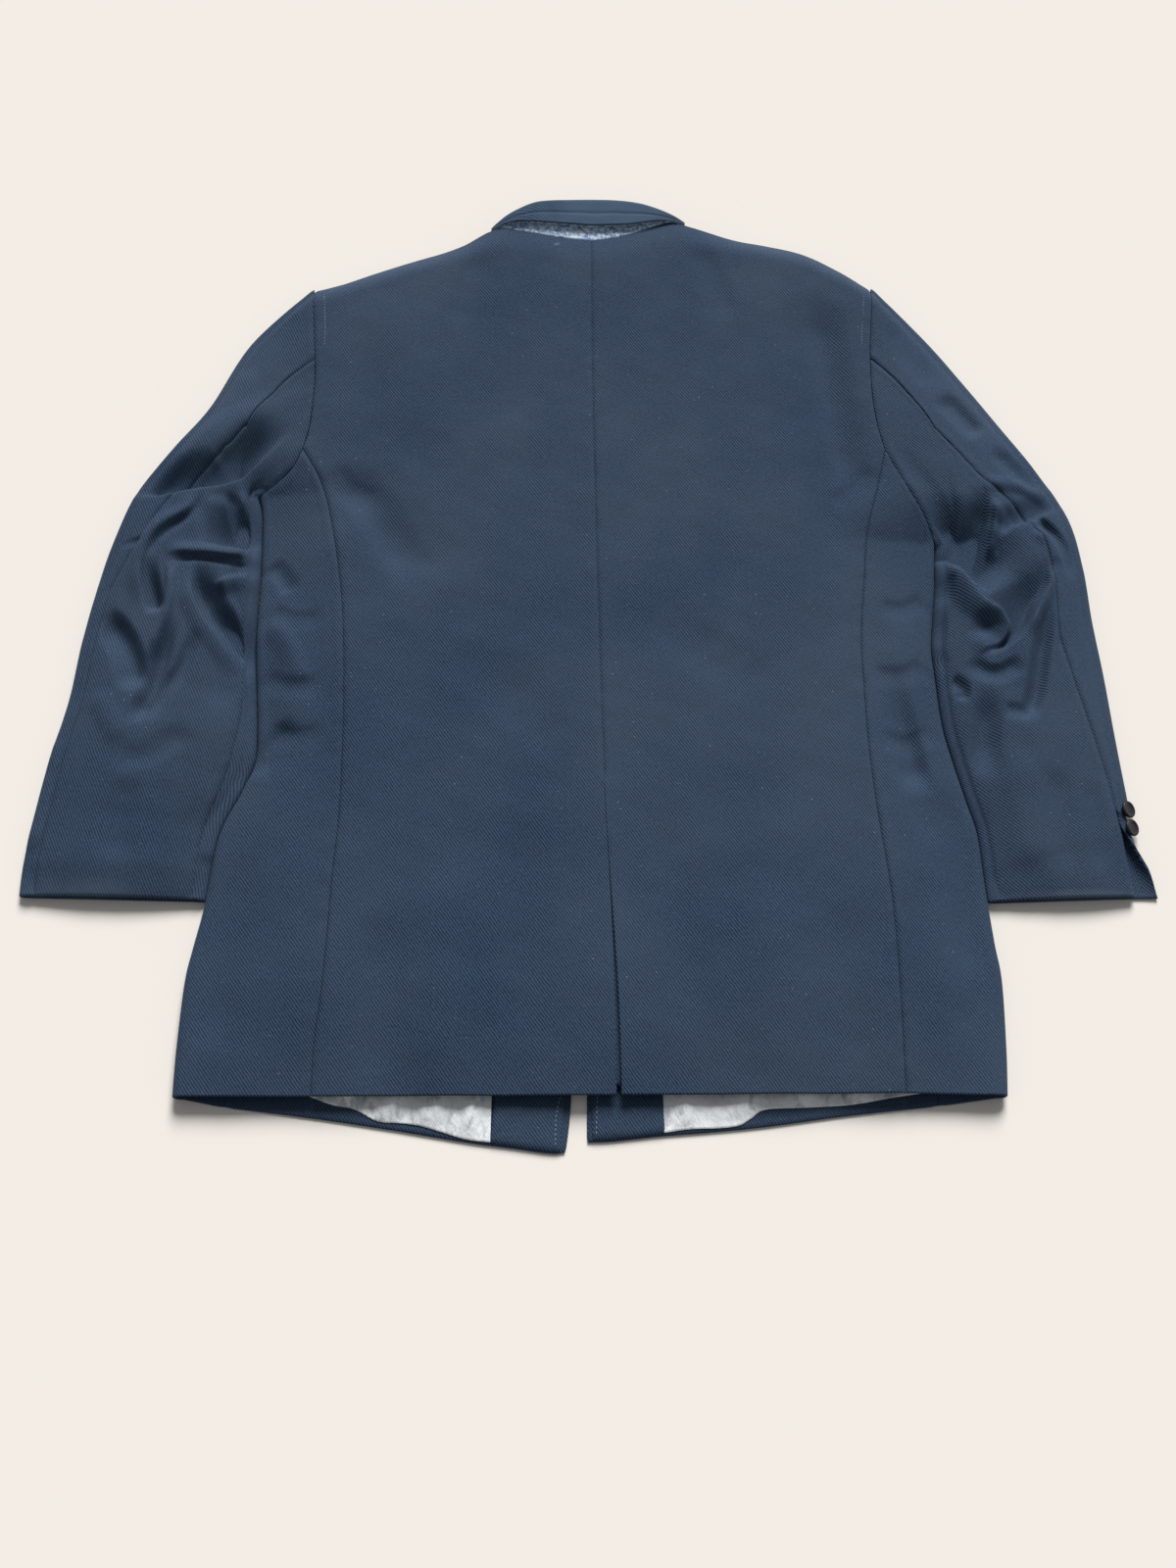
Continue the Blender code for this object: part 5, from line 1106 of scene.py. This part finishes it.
class Sleeve:
    """The plan and heights of one sleeve, as two sheets joined by rounded edges."""

    def __init__(self, lines):
        self.side = lines.side
        table = SLEEVE_ROWS[self.side]
        armhole = read_line(ARMHOLE[self.side], ARMHOLE_SHARES)
        underarm = read_line(UNDERARM[self.side], UNDERARM_SHARES + [lines.turn_share, 1.0])
        border = np.concatenate([armhole[::-1], underarm[1:]])
        border = moved_sideways(border, OUTWARD[self.side] * SEAM)
        self.armhole_way = (border[-1] - border[-2]) / np.linalg.norm(border[-1] - border[-2])
        arm = border[1:-1]
        self.arm = arm
        outer_ends = np.array([border[0]] + [row[0] for row in table])
        inner_ends = np.array([border[-1]] + [row[1] for row in table])
        inset = moved_sideways(outer_ends, -OUTWARD[self.side] * TURN)
        inset[0] = arm[0]
        middles = 0.5 * (outer_ends + inner_ends)
        steps = step_sizes(middles)
        self.places = lengths_to(steps) / steps.sum()
        self.length = float(steps.sum())
        creased = int(round(CREASED_SHARE * self.length / CREASED_STEP))
        plain = int(round((1.0 - CREASED_SHARE) * self.length / STEP))
        steps = np.concatenate([np.linspace(0.0, CREASED_SHARE, creased),
                                np.linspace(CREASED_SHARE, 1.0, plain)[1:]])
        close = np.array(EDGE_DISTANCES) / self.length
        self.rows = np.concatenate([close, steps[steps > close[-1] + 0.4 * CREASED_STEP / self.length]])
        self.outer_end = placed_line(outer_ends, self.places, self.rows)
        beside, ways = nearest_on(smooth_line(BODY_EDGE[self.side])[0],
                                  placed_line(inner_ends, self.places, self.rows))
        outward = OUTWARD[self.side] * np.stack([ways[:, 1], -ways[:, 0]], -1)
        self.inner_end = beside + outward * SLEEVE_GAP
        self.outer_sheet = placed_line(inset, self.places, self.rows)
        self.ways = self.inner_ways()
        self.line = (middles[1] - middles[-1]) / np.linalg.norm(middles[1] - middles[-1])
        self.inner_sheet = self.inner_end - self.ways * TURN
        lengths = lengths_to(step_sizes(arm))
        self.hind = self.column([row[2] for row in table], lengths[4] / lengths[-1])
        self.fore = self.column([row[3] for row in table], FORE_SEAM_START)
        self.crown = self.column([row[4] for row in table], SHOULDER_HEIGHT)

    def column(self, values, start):
        return np.interp(self.rows, self.places, [start] + list(values))

    def inner_ways(self):
        before, after = [np.stack([np.interp(self.rows + shift, self.rows, self.inner_end[:, k])
                                   for k in range(2)], -1) for shift in (-0.02, 0.02)]
        along = after - before
        first = math.atan2(self.armhole_way[1], self.armhole_way[0])
        if self.side == LEFT:
            last = np.arctan2(along[:, 0], -along[:, 1])
            turn = np.mod(last - first, 2.0 * np.pi)
        else:
            last = np.arctan2(-along[:, 0], along[:, 1])
            turn = -np.mod(first - last, 2.0 * np.pi)
        angle = first + turn * np.clip(self.rows / ARMPIT_SWING, 0.0, 1.0)
        return np.stack([np.cos(angle), np.sin(angle)], -1)

    def plan(self, across):
        """Places on the sheets for a grid of shares across, from the outer edge to the inner."""
        u = across[..., None]
        straight = between(self.outer_sheet[:, None], self.inner_sheet[:, None], u)
        chord = between(self.arm[0], self.arm[-1], u)
        bend = read_dense(self.arm, across.ravel()).reshape(across.shape + (2,)) - chord
        rows = self.rows[:, None]
        hook = ease(rows / HOOK_START) * (1.0 - ease((rows - HOOK_END) / HOOK_EASE))
        hook = hook * HOOK[self.side] * across ** 4 * (1.0 - across)
        straight[..., 0] += OUTWARD[self.side] * hook
        return straight + bend * (np.maximum(1.0 - rows / BEND_REACH, 0.0) ** 2)[..., None]

    def low(self, plan):
        rows = self.rows[:, None]
        lift = under_lift(plan[..., 1]) * (1.0 - ease(rows / 0.12))
        if self.side == LEFT:
            near = np.minimum((rows - BUTTON_ROWS[0]) / BUTTON_EASE, (BUTTON_ROWS[1] - rows) / BUTTON_EASE)
            lift = np.maximum(lift, (BUTTON_THICKNESS + STACK) * np.clip(near, 0.0, 1.0))
        return lift

    def height(self, across, plan):
        rows = self.rows[:, None]
        arch = np.sin(np.pi * np.clip(across, 0.0, 1.0)) ** 0.6
        own = self.crown[:, None] * blend(0.52, 1.0, arch)
        start = back_height(read_dense(self.arm, across.ravel()).reshape(across.shape + (2,)))
        height = blend(start, own, ease(rows * self.length / ARMHOLE_BLEND))
        folds = folds_height(plan, [], SLEEVE_CREASES[self.side])
        settled = ease(rows * self.length / FOLD_START)
        calm = settled * np.clip(arch, 0.0, 1.0)
        folds = soften_rows(folds, 1.0 - ease((1.0 - across) / SOFTENED_SHARE))
        by_edge = 1.0
        for inward, (least, reach) in ((1.0 - across, INNER_EDGE_CREASE), (across, OUTER_EDGE_CREASE)):
            by_edge = by_edge * blend(least, 1.0, ease(inward / reach))
        height += folds * settled * by_edge
        height += calm * ripples(plan, SLEEVE_RIPPLES)
        return np.maximum(height, self.low(plan) + 2.0 * WOOL + LEAST_HOLLOW)

    def upper(self, across, seam_columns=()):
        plan = self.plan(across)
        height = self.height(across, plan)
        for border in seam_columns:
            height += seam_dip(from_border(plan, border), plan)
        height += seam_dip(from_border(plan, "first row"), plan, 0.0007)
        return plan, height


def open_vent(outer, inner, sleeve, first):
    """Open the right cuff: the top sleeve's free edge unrolls beside the under sleeve."""
    last = outer.shape[1] - 1
    for row, along in enumerate(sleeve.rows):
        open_share = float(ease((along - VENT_START) / (1.0 - VENT_START)))
        if open_share <= 0.0:
            continue
        root = outer[row, first].copy()
        top = outer[row, first + TURN_STEPS]
        radius = 0.5 * (top[2] - root[2])
        length = math.pi * radius + np.linalg.norm(outer[row, last] - top)
        bend = max(1.0 - open_share, 0.02) / radius
        count = last - first
        for column in range(first + 1, last + 1):
            angle = bend * length * (column - first) / count
            away = np.array([math.sin(angle), 0.0, 1.0 - math.cos(angle)]) / bend
            outer[row, column] = root + away
            inward = np.array([-math.sin(angle), 0.0, math.cos(angle)])
            inner[row, column] = root + away + inward * WOOL


def sleeve_pieces(lines, material):
    side = lines.side
    sleeve = Sleeve(lines)
    share = spread(UNDERSLEEVE_WIDTH, first=True, last=True, step=CREASED_STEP)[None, :]
    hind = sleeve.hind[:, None]
    fore = sleeve.fore[:, None]
    plan, height = sleeve.upper(blend(hind, fore, share), ("first column",))
    shown = 1.0 - ease((fore - FORE_SEAM_HIDDEN) / 0.008)
    height += seam_dip(from_border(plan, "last column"), plan) * shown
    outer, inner = [part_seams(part_seams(face, ("first column",)), ("last column",), CLOSE_SEAM)
                    for face in two_faces(plan, height)]
    under = cloth("undersleeve_" + side, outer, inner, material, ("last row",),
                  weave_places(outer, sleeve.line))

    strip_share = np.linspace(0.0, 1.0, 5)[None, :]
    inner_plan, inner_height = sleeve.upper(blend(fore, 1.0, strip_share))
    top_share = spread(OUTER_STRIP_WIDTH, last=True, step=OUTER_STRIP_STEP)[None, :]
    outer_plan, outer_height = sleeve.upper(hind * top_share, ("last column",))
    low_share = np.repeat(np.linspace(1.0, 0.0, 26)[None, :], len(sleeve.rows), axis=0)
    low_plan = sleeve.plan(low_share)
    lift = sleeve.low(low_plan)
    lower = two_faces(low_plan, lift, -WOOL)
    reaches = np.full(len(sleeve.rows), TURN)
    inner_turn = turn_round(sleeve.inner_sheet, reaches, sleeve.ways, inner_height[:, -1], lift[:, 0])
    outer_turn = turn_to(sleeve.outer_sheet, sleeve.outer_end, outer_height[:, 0], lift[:, -1])
    inner_strip = two_faces(inner_plan, inner_height)
    outer_strip = two_faces(outer_plan, outer_height)
    faces = [side_by_side(inner_strip[k], inner_turn[k], lower[k], outer_turn[k][:, ::-1],
                          outer_strip[k]) for k in (0, 1)]
    outer, inner = faces
    strip_columns = outer_plan.shape[1]
    if side == RIGHT:
        open_vent(outer, inner, sleeve, outer.shape[1] - TURN_STEPS - strip_columns)
    grain = weave_places(outer, sleeve.line, outer.shape[1] - strip_columns, OUTWARD[side])
    outer, inner = [part_seams(part_seams(face, ("last column",)), ("first column",), CLOSE_SEAM)
                    for face in (outer, inner)]
    top = cloth("topsleeve_" + side, outer, inner, material, ("last row",), grain)
    return under, top


# Collar

COLLAR_ROWS = [
    (-0.0860, 0.3948, 0.3978, 0.3945), (-0.0810, 0.3962, 0.4022, 0.3968),
    (-0.0720, 0.3962, 0.4090, 0.3992), (-0.0610, 0.3931, 0.4155, 0.4000),
    (-0.0480, 0.3906, 0.4218, 0.3996), (-0.0350, 0.3880, 0.4240, 0.3986),
    (-0.0160, 0.3845, 0.4245, 0.3969), (0.0030, 0.3822, 0.4247, 0.3952),
    (0.0210, 0.3850, 0.4243, 0.3957), (0.0350, 0.3886, 0.4229, 0.3963),
    (0.0470, 0.3932, 0.4205, 0.3981), (0.0570, 0.3974, 0.4170, 0.3996),
    (0.0680, 0.4012, 0.4125, 0.4012), (0.0780, 0.4020, 0.4078, 0.4014),
    (0.0860, 0.4002, 0.4032, 0.4004),
]
COLLAR_HOLLOW = 0.0010
COLLAR_LIFT = 0.0010
COLLAR_TAPER = 0.032
FELT_JOINS = (-0.0279, 0.0314)


def collar_sheet(rows, radius, crease, joins):
    """A folded sheet, from the neck seam round the fold to the fall's edge, thinner at its ends."""
    x, neck, fold, fall = rows.T
    ends = rise(np.minimum(x - x[0], x[-1] - x) / COLLAR_TAPER)
    middle = top_edge_height(x) + COLLAR_LIFT - 0.0022 * (1.0 - ends)
    radius = radius * blend(0.22, 1.0, ends)
    start = fold - radius
    arm = np.linspace(0.0, 1.0, 26)
    angles = np.pi * np.arange(1, 12) / 12
    y = [blend(neck, start, share) for share in arm]
    z = [middle - radius for _ in arm]
    y += [start + radius * math.sin(angle) for angle in angles]
    z += [middle - radius * math.cos(angle) for angle in angles]
    y += [blend(start, fall, share) for share in arm]
    z += [middle + radius for _ in arm]
    y = np.array(y).T
    z = np.array(z).T
    points = np.stack([np.repeat(x[:, None], y.shape[1], axis=1), y, z], -1)
    upper = np.zeros(y.shape[1])
    upper[-len(arm):] = np.sin(np.pi * arm)
    line = np.zeros(y.shape[1])
    line[-len(arm):] = np.exp(-((arm - 0.50) / 0.065) ** 2)
    lower = np.zeros(y.shape[1])
    lower[:len(arm)] = 1.0
    points[..., 2] += upper[None] * 0.00022 * ripple(points[..., :2], 0.022, 41)
    points[..., 2] -= crease * line[None] * ends[:, None]
    for join in joins:
        points[..., 2] -= lower[None] * 0.0005 * np.exp(-((points[..., 0] - join) / 0.0009) ** 2)
    return points


def collar_pieces():
    table = smooth_line(COLLAR_ROWS, 14)[0]
    felt_inner = COLLAR_HOLLOW
    felt_outer = felt_inner + FELT
    cloth_inner = felt_outer + STACK
    cloth_outer = cloth_inner + 0.9 * WOOL
    made = []
    for name, outside, inside, material, slot, crease, joins in (
            ("undercollar", felt_outer, felt_inner, felt, "undercollar_felt", 0.0, FELT_JOINS),
            ("collar", cloth_outer, cloth_inner, navy_collar, "navy_twill", 0.0007, ())):
        faces = []
        for radius in (outside, inside):
            rows = table.copy()
            rows[:, 1] += 2.0 * STACK
            rows[:, 2] -= cloth_outer - radius
            faces.append(collar_sheet(rows, radius, crease, joins))
        outer, inner = faces
        steps = np.linalg.norm(np.diff(outer, axis=1), axis=-1)
        depth = np.concatenate([np.zeros((len(outer), 1)), np.cumsum(steps, axis=1)], axis=1)
        grain = np.stack([outer[..., 0], -depth], -1)
        made.append(cloth(name, outer, inner, material, ("first column", "last column"), grain))
    return made


# Pieces hidden under the fronts

LAPEL_OUTLINE = [(0.0040, -0.0150), (0.0320, 0.0600), (0.0790, 0.1500), (0.1180, 0.2350),
                 (0.0900, 0.2560), (0.0670, 0.2740)]
COLLAR_END_OUTLINE = [(0.0672, 0.2760), (0.0890, 0.2590), (0.1120, 0.2880), (0.1230, 0.3500),
                      (0.0960, 0.3840), (0.0905, 0.3840)]
UNDER_THICKNESS = UNDER_LIFT - STACK


def hidden_flap(name, outline, side):
    """A folded flap with rounded edges, cut to a plan outline."""
    shift = -0.0100 if side == LEFT else 0.0
    points = [(OUTWARD[side] * x + shift * float(rise((0.20 - y) / 0.22)), y) for x, y in outline]
    shape = bmesh.new()
    corners = [shape.verts.new((x, y, 0.0)) for x, y in points]
    shape.faces.new(corners)
    grown = bmesh.ops.extrude_face_region(shape, geom=list(shape.faces))
    moved = [item for item in grown["geom"] if isinstance(item, bmesh.types.BMVert)]
    bmesh.ops.translate(shape, verts=moved, vec=(0.0, 0.0, UNDER_THICKNESS))
    bmesh.ops.recalc_face_normals(shape, faces=shape.faces)
    rims = [edge for edge in shape.edges if abs(edge.verts[0].co.z - edge.verts[1].co.z) < 1e-6]
    bmesh.ops.bevel(shape, geom=rims, offset=0.0011, segments=3, affect="EDGES")
    bmesh.ops.triangulate(shape, faces=[face for face in shape.faces if len(face.verts) > 4])
    shape.verts.index_update()
    places = [tuple(vert.co) for vert in shape.verts]
    faces = [[vert.index for vert in face.verts] for face in shape.faces]
    shape.free()
    return mesh_piece(name, places, faces, navy, np.array(places)[:, :2], 0.9)


# Buttons

FRONT_BUTTONS = {"front_button_upper": (0.0200, -0.0400), "front_button_lower": (0.0200, -0.1450)}
CUFF_BUTTONS = {
    "cuff_button_right_upper": ((0.4245, -0.1565, 0.00814), (0.60, 0.0, 0.80)),
    "cuff_button_right_lower": ((0.4255, -0.1722, 0.00905), (0.60, 0.0, 0.80)),
    "cuff_button_left_upper": ((-0.4100, -0.1470, 0.0014), (0.0, 0.0, -1.0)),
    "cuff_button_left_lower": ((-0.4125, -0.1625, 0.0014), (0.0, 0.0, -1.0)),
}


def button(name, centre, axis, radius):
    """A turned button: rounded rim and dished middle."""
    half = 0.5 * BUTTON_THICKNESS
    profile = [(0.0, -half), (0.80, -half), (0.93, -0.75 * half), (1.0, -0.1 * half),
               (0.985, 0.55 * half), (0.92, 0.95 * half), (0.82, half), (0.72, 0.86 * half),
               (0.62, 0.52 * half), (0.45, 0.40 * half), (0.20, 0.40 * half), (0.0, 0.40 * half)]
    count = 40
    points = []
    for share, height in profile:
        for step in range(count if share > 0.0 else 1):
            angle = 2.0 * math.pi * step / count
            points.append((radius * share * math.cos(angle), radius * share * math.sin(angle), height))
    faces = []
    starts = [0]
    for share, _ in profile[:-1]:
        starts.append(starts[-1] + (count if share > 0.0 else 1))
    for first, second in zip(range(len(profile) - 1), range(1, len(profile))):
        for step in range(count):
            after = (step + 1) % count
            if profile[first][0] == 0.0:
                faces.append((0, starts[1] + step, starts[1] + after))
            elif profile[second][0] == 0.0:
                faces.append((starts[first] + step, starts[second], starts[first] + after))
            else:
                faces.append((starts[first] + step, starts[second] + step,
                              starts[second] + after, starts[first] + after))
    piece = mesh_piece(name + "_turned", points, faces, horn)
    turn = Vector((0.0, 0.0, 1.0)).rotation_difference(Vector(axis).normalized())
    place = Matrix.Translation(centre) @ turn.to_matrix().to_4x4()
    piece.data.transform(place)
    return finish_piece(piece, [name])


# Stitching

def front_top(places):
    return np.full(len(places), 2.0 * WOOL + 2.0 * STACK)


# Spacing of the stitches, length of a stitch and thickness of its thread
ARMHOLE_STITCH = (0.0030, 0.0016, 0.0006)
EDGE_STITCH = (0.0034, 0.0019, 0.0008)
NECK_STITCH = (0.0036, 0.0050, 0.0007)

# Name, carrier, its height, path in plan and kind of stitch
STITCH_ROWS = [
    ("stitches_armhole_left", "back_left", back_height,
     [(-0.2300, 0.3209), (-0.2279, 0.2971), (-0.2267, 0.2737), (-0.2286, 0.2615)], ARMHOLE_STITCH),
    ("stitches_armhole_right", "back_right", back_height,
     [(0.2402, 0.3198), (0.2381, 0.2971), (0.2361, 0.2767), (0.2360, 0.2595)], ARMHOLE_STITCH),
    ("stitches_edge_left", "facing_left", front_top,
     [(-0.0205, -0.3845), (-0.0235, -0.4000), (-0.0240, -0.4220)], EDGE_STITCH),
    ("stitches_edge_right", "facing_right", front_top,
     [(0.0070, -0.3835), (0.0064, -0.4000), (0.0060, -0.4140)], EDGE_STITCH),
    ("stitches_neck_first", "back_left", back_height,
     [(-0.0305, 0.3745), (-0.0245, 0.3785)], NECK_STITCH),
    ("stitches_neck_second", "back_left", back_height,
     [(-0.0300, 0.3785), (-0.0250, 0.3745)], NECK_STITCH),
]


def stitch_row(name, path, height_at, spacing, size, thickness):
    """Short thread stitches along a path in plan, each a small rounded bar on the cloth."""
    dense = smooth_line(path)[0]
    total = length_of(path)
    count = max(int(total / spacing), 1)
    shares = (np.arange(count) + 0.5) / count
    source = np.random.default_rng(len(name))
    points = []
    faces = []
    ring = 6
    for share in shares:
        half = 0.5 * size * source.uniform(0.85, 1.15) / total
        middle = float(share + source.uniform(-0.04, 0.04) / count)
        ends = read_dense(dense, [middle - half, middle, middle + half])
        along = ends[2] - ends[0]
        along /= np.linalg.norm(along)
        across = np.array([-along[1], along[0]])
        levels = height_at(ends)
        base = len(points)
        for spot, level, fat in zip(ends, levels, (0.55, 1.0, 0.55)):
            for step in range(ring):
                angle = 2.0 * math.pi * step / ring
                out = across * math.cos(angle) * 0.5 * thickness * fat
                up = math.sin(angle) * 0.35 * thickness * fat
                points.append((spot[0] + out[0], spot[1] + out[1], level + up))
        for part in (0, 1):
            for step in range(ring):
                after = (step + 1) % ring
                a = base + part * ring
                faces.append((a + step, a + after, a + ring + after, a + ring + step))
        faces.append(tuple(base + step for step in reversed(range(ring))))
        faces.append(tuple(base + 2 * ring + step for step in range(ring)))
    piece = mesh_piece(name, points, faces, navy_thread)
    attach(piece, "root")
    return piece


# View, light and floor

FOCAL_PIXELS = 2010.0
PHOTO_HEIGHT = 1600.0
SENSOR = 36.0
CAMERA_PLACE = (0.0, -0.7425, 1.44)
CAMERA_TILT = math.radians(23.0)
SUN_WAY = (-0.14, -0.80, -0.585)
FLOOR_HALF = 12.0
FLOOR_LEVEL = -0.0002


def camera_and_light():
    camera_data = bpy.data.cameras.new("view")
    camera_data.sensor_width = SENSOR
    camera_data.lens = SENSOR * FOCAL_PIXELS / PHOTO_HEIGHT
    camera = place_object("view", camera_data)
    camera.location = CAMERA_PLACE
    camera.rotation_euler = (CAMERA_TILT, 0.0, 0.0)
    bpy.context.scene.camera = camera

    sun_data = bpy.data.lights.new("high_window", "SUN")
    sun_data.energy = 4.30
    sun_data.angle = math.radians(28.0)
    sun_data.color = (1.0, 0.985, 0.965)
    sun = place_object("high_window", sun_data)
    sun.rotation_euler = Vector(SUN_WAY).to_track_quat("-Z", "Y").to_euler()
    world = bpy.data.worlds.new("studio")
    world.use_nodes = True
    background = world.node_tree.nodes["Background"]
    background.inputs["Color"].default_value = (0.97, 0.985, 1.0, 1.0)
    background.inputs["Strength"].default_value = 0.22
    bpy.context.scene.view_settings.view_transform = "Standard"
    bpy.context.scene.world = world


def floor():
    mesh = bpy.data.meshes.new("pale_floor")
    signs = ((-1, -1), (1, -1), (1, 1), (-1, 1))
    corners = [(x * FLOOR_HALF, y * FLOOR_HALF, FLOOR_LEVEL) for x, y in signs]
    mesh.from_pydata(corners, [], [(0, 1, 2, 3)])
    made, _, shader = start_material("pale_floor", roughness=0.9, specular_ior_level=0.1)
    shader.inputs["Base Color"].default_value = (0.88, 0.84, 0.79, 1.0)
    mesh.materials.append(made)
    piece = place_object("pale_floor", mesh)


# Making of the blazer

camera_and_light()
floor()

cloths = {}
for side, sleeve_material in ((LEFT, navy_left_sleeve), (RIGHT, navy_right_sleeve)):
    lines = SideLines(side)
    cloths["back_" + side] = back_panel(lines)
    cloths["side_" + side] = side_panel(lines)
    cloths["front_" + side] = front_panel(lines)
    cloths["facing_" + side] = facing(lines)
    cloths["lining_" + side] = lining(lines)
    under, top = sleeve_pieces(lines, sleeve_material)
    cloths["undersleeve_" + side] = under
    cloths["topsleeve_" + side] = top
    for name, outline in (("lapel_", LAPEL_OUTLINE), ("collar_end_", COLLAR_END_OUTLINE)):
        flap = hidden_flap(name + side + "_cloth", outline, side)
        cloths[name + side] = finish_piece(flap, [name + side])
cloths["vent_underlap"] = vent_underlap()
cloths["undercollar"], cloths["collar"] = collar_pieces()

for name, (x, y) in FRONT_BUTTONS.items():
    button(name, (x, y, 0.5 * BUTTON_THICKNESS), (0.0, 0.0, -1.0), 0.0100)
for name, (centre, axis) in CUFF_BUTTONS.items():
    button(name, centre, axis, 0.0070)

stitches = {}
for name, carrier, height_at, path, stitch in STITCH_ROWS:
    stitches.setdefault(carrier, []).append(stitch_row(name, path, height_at, *stitch))
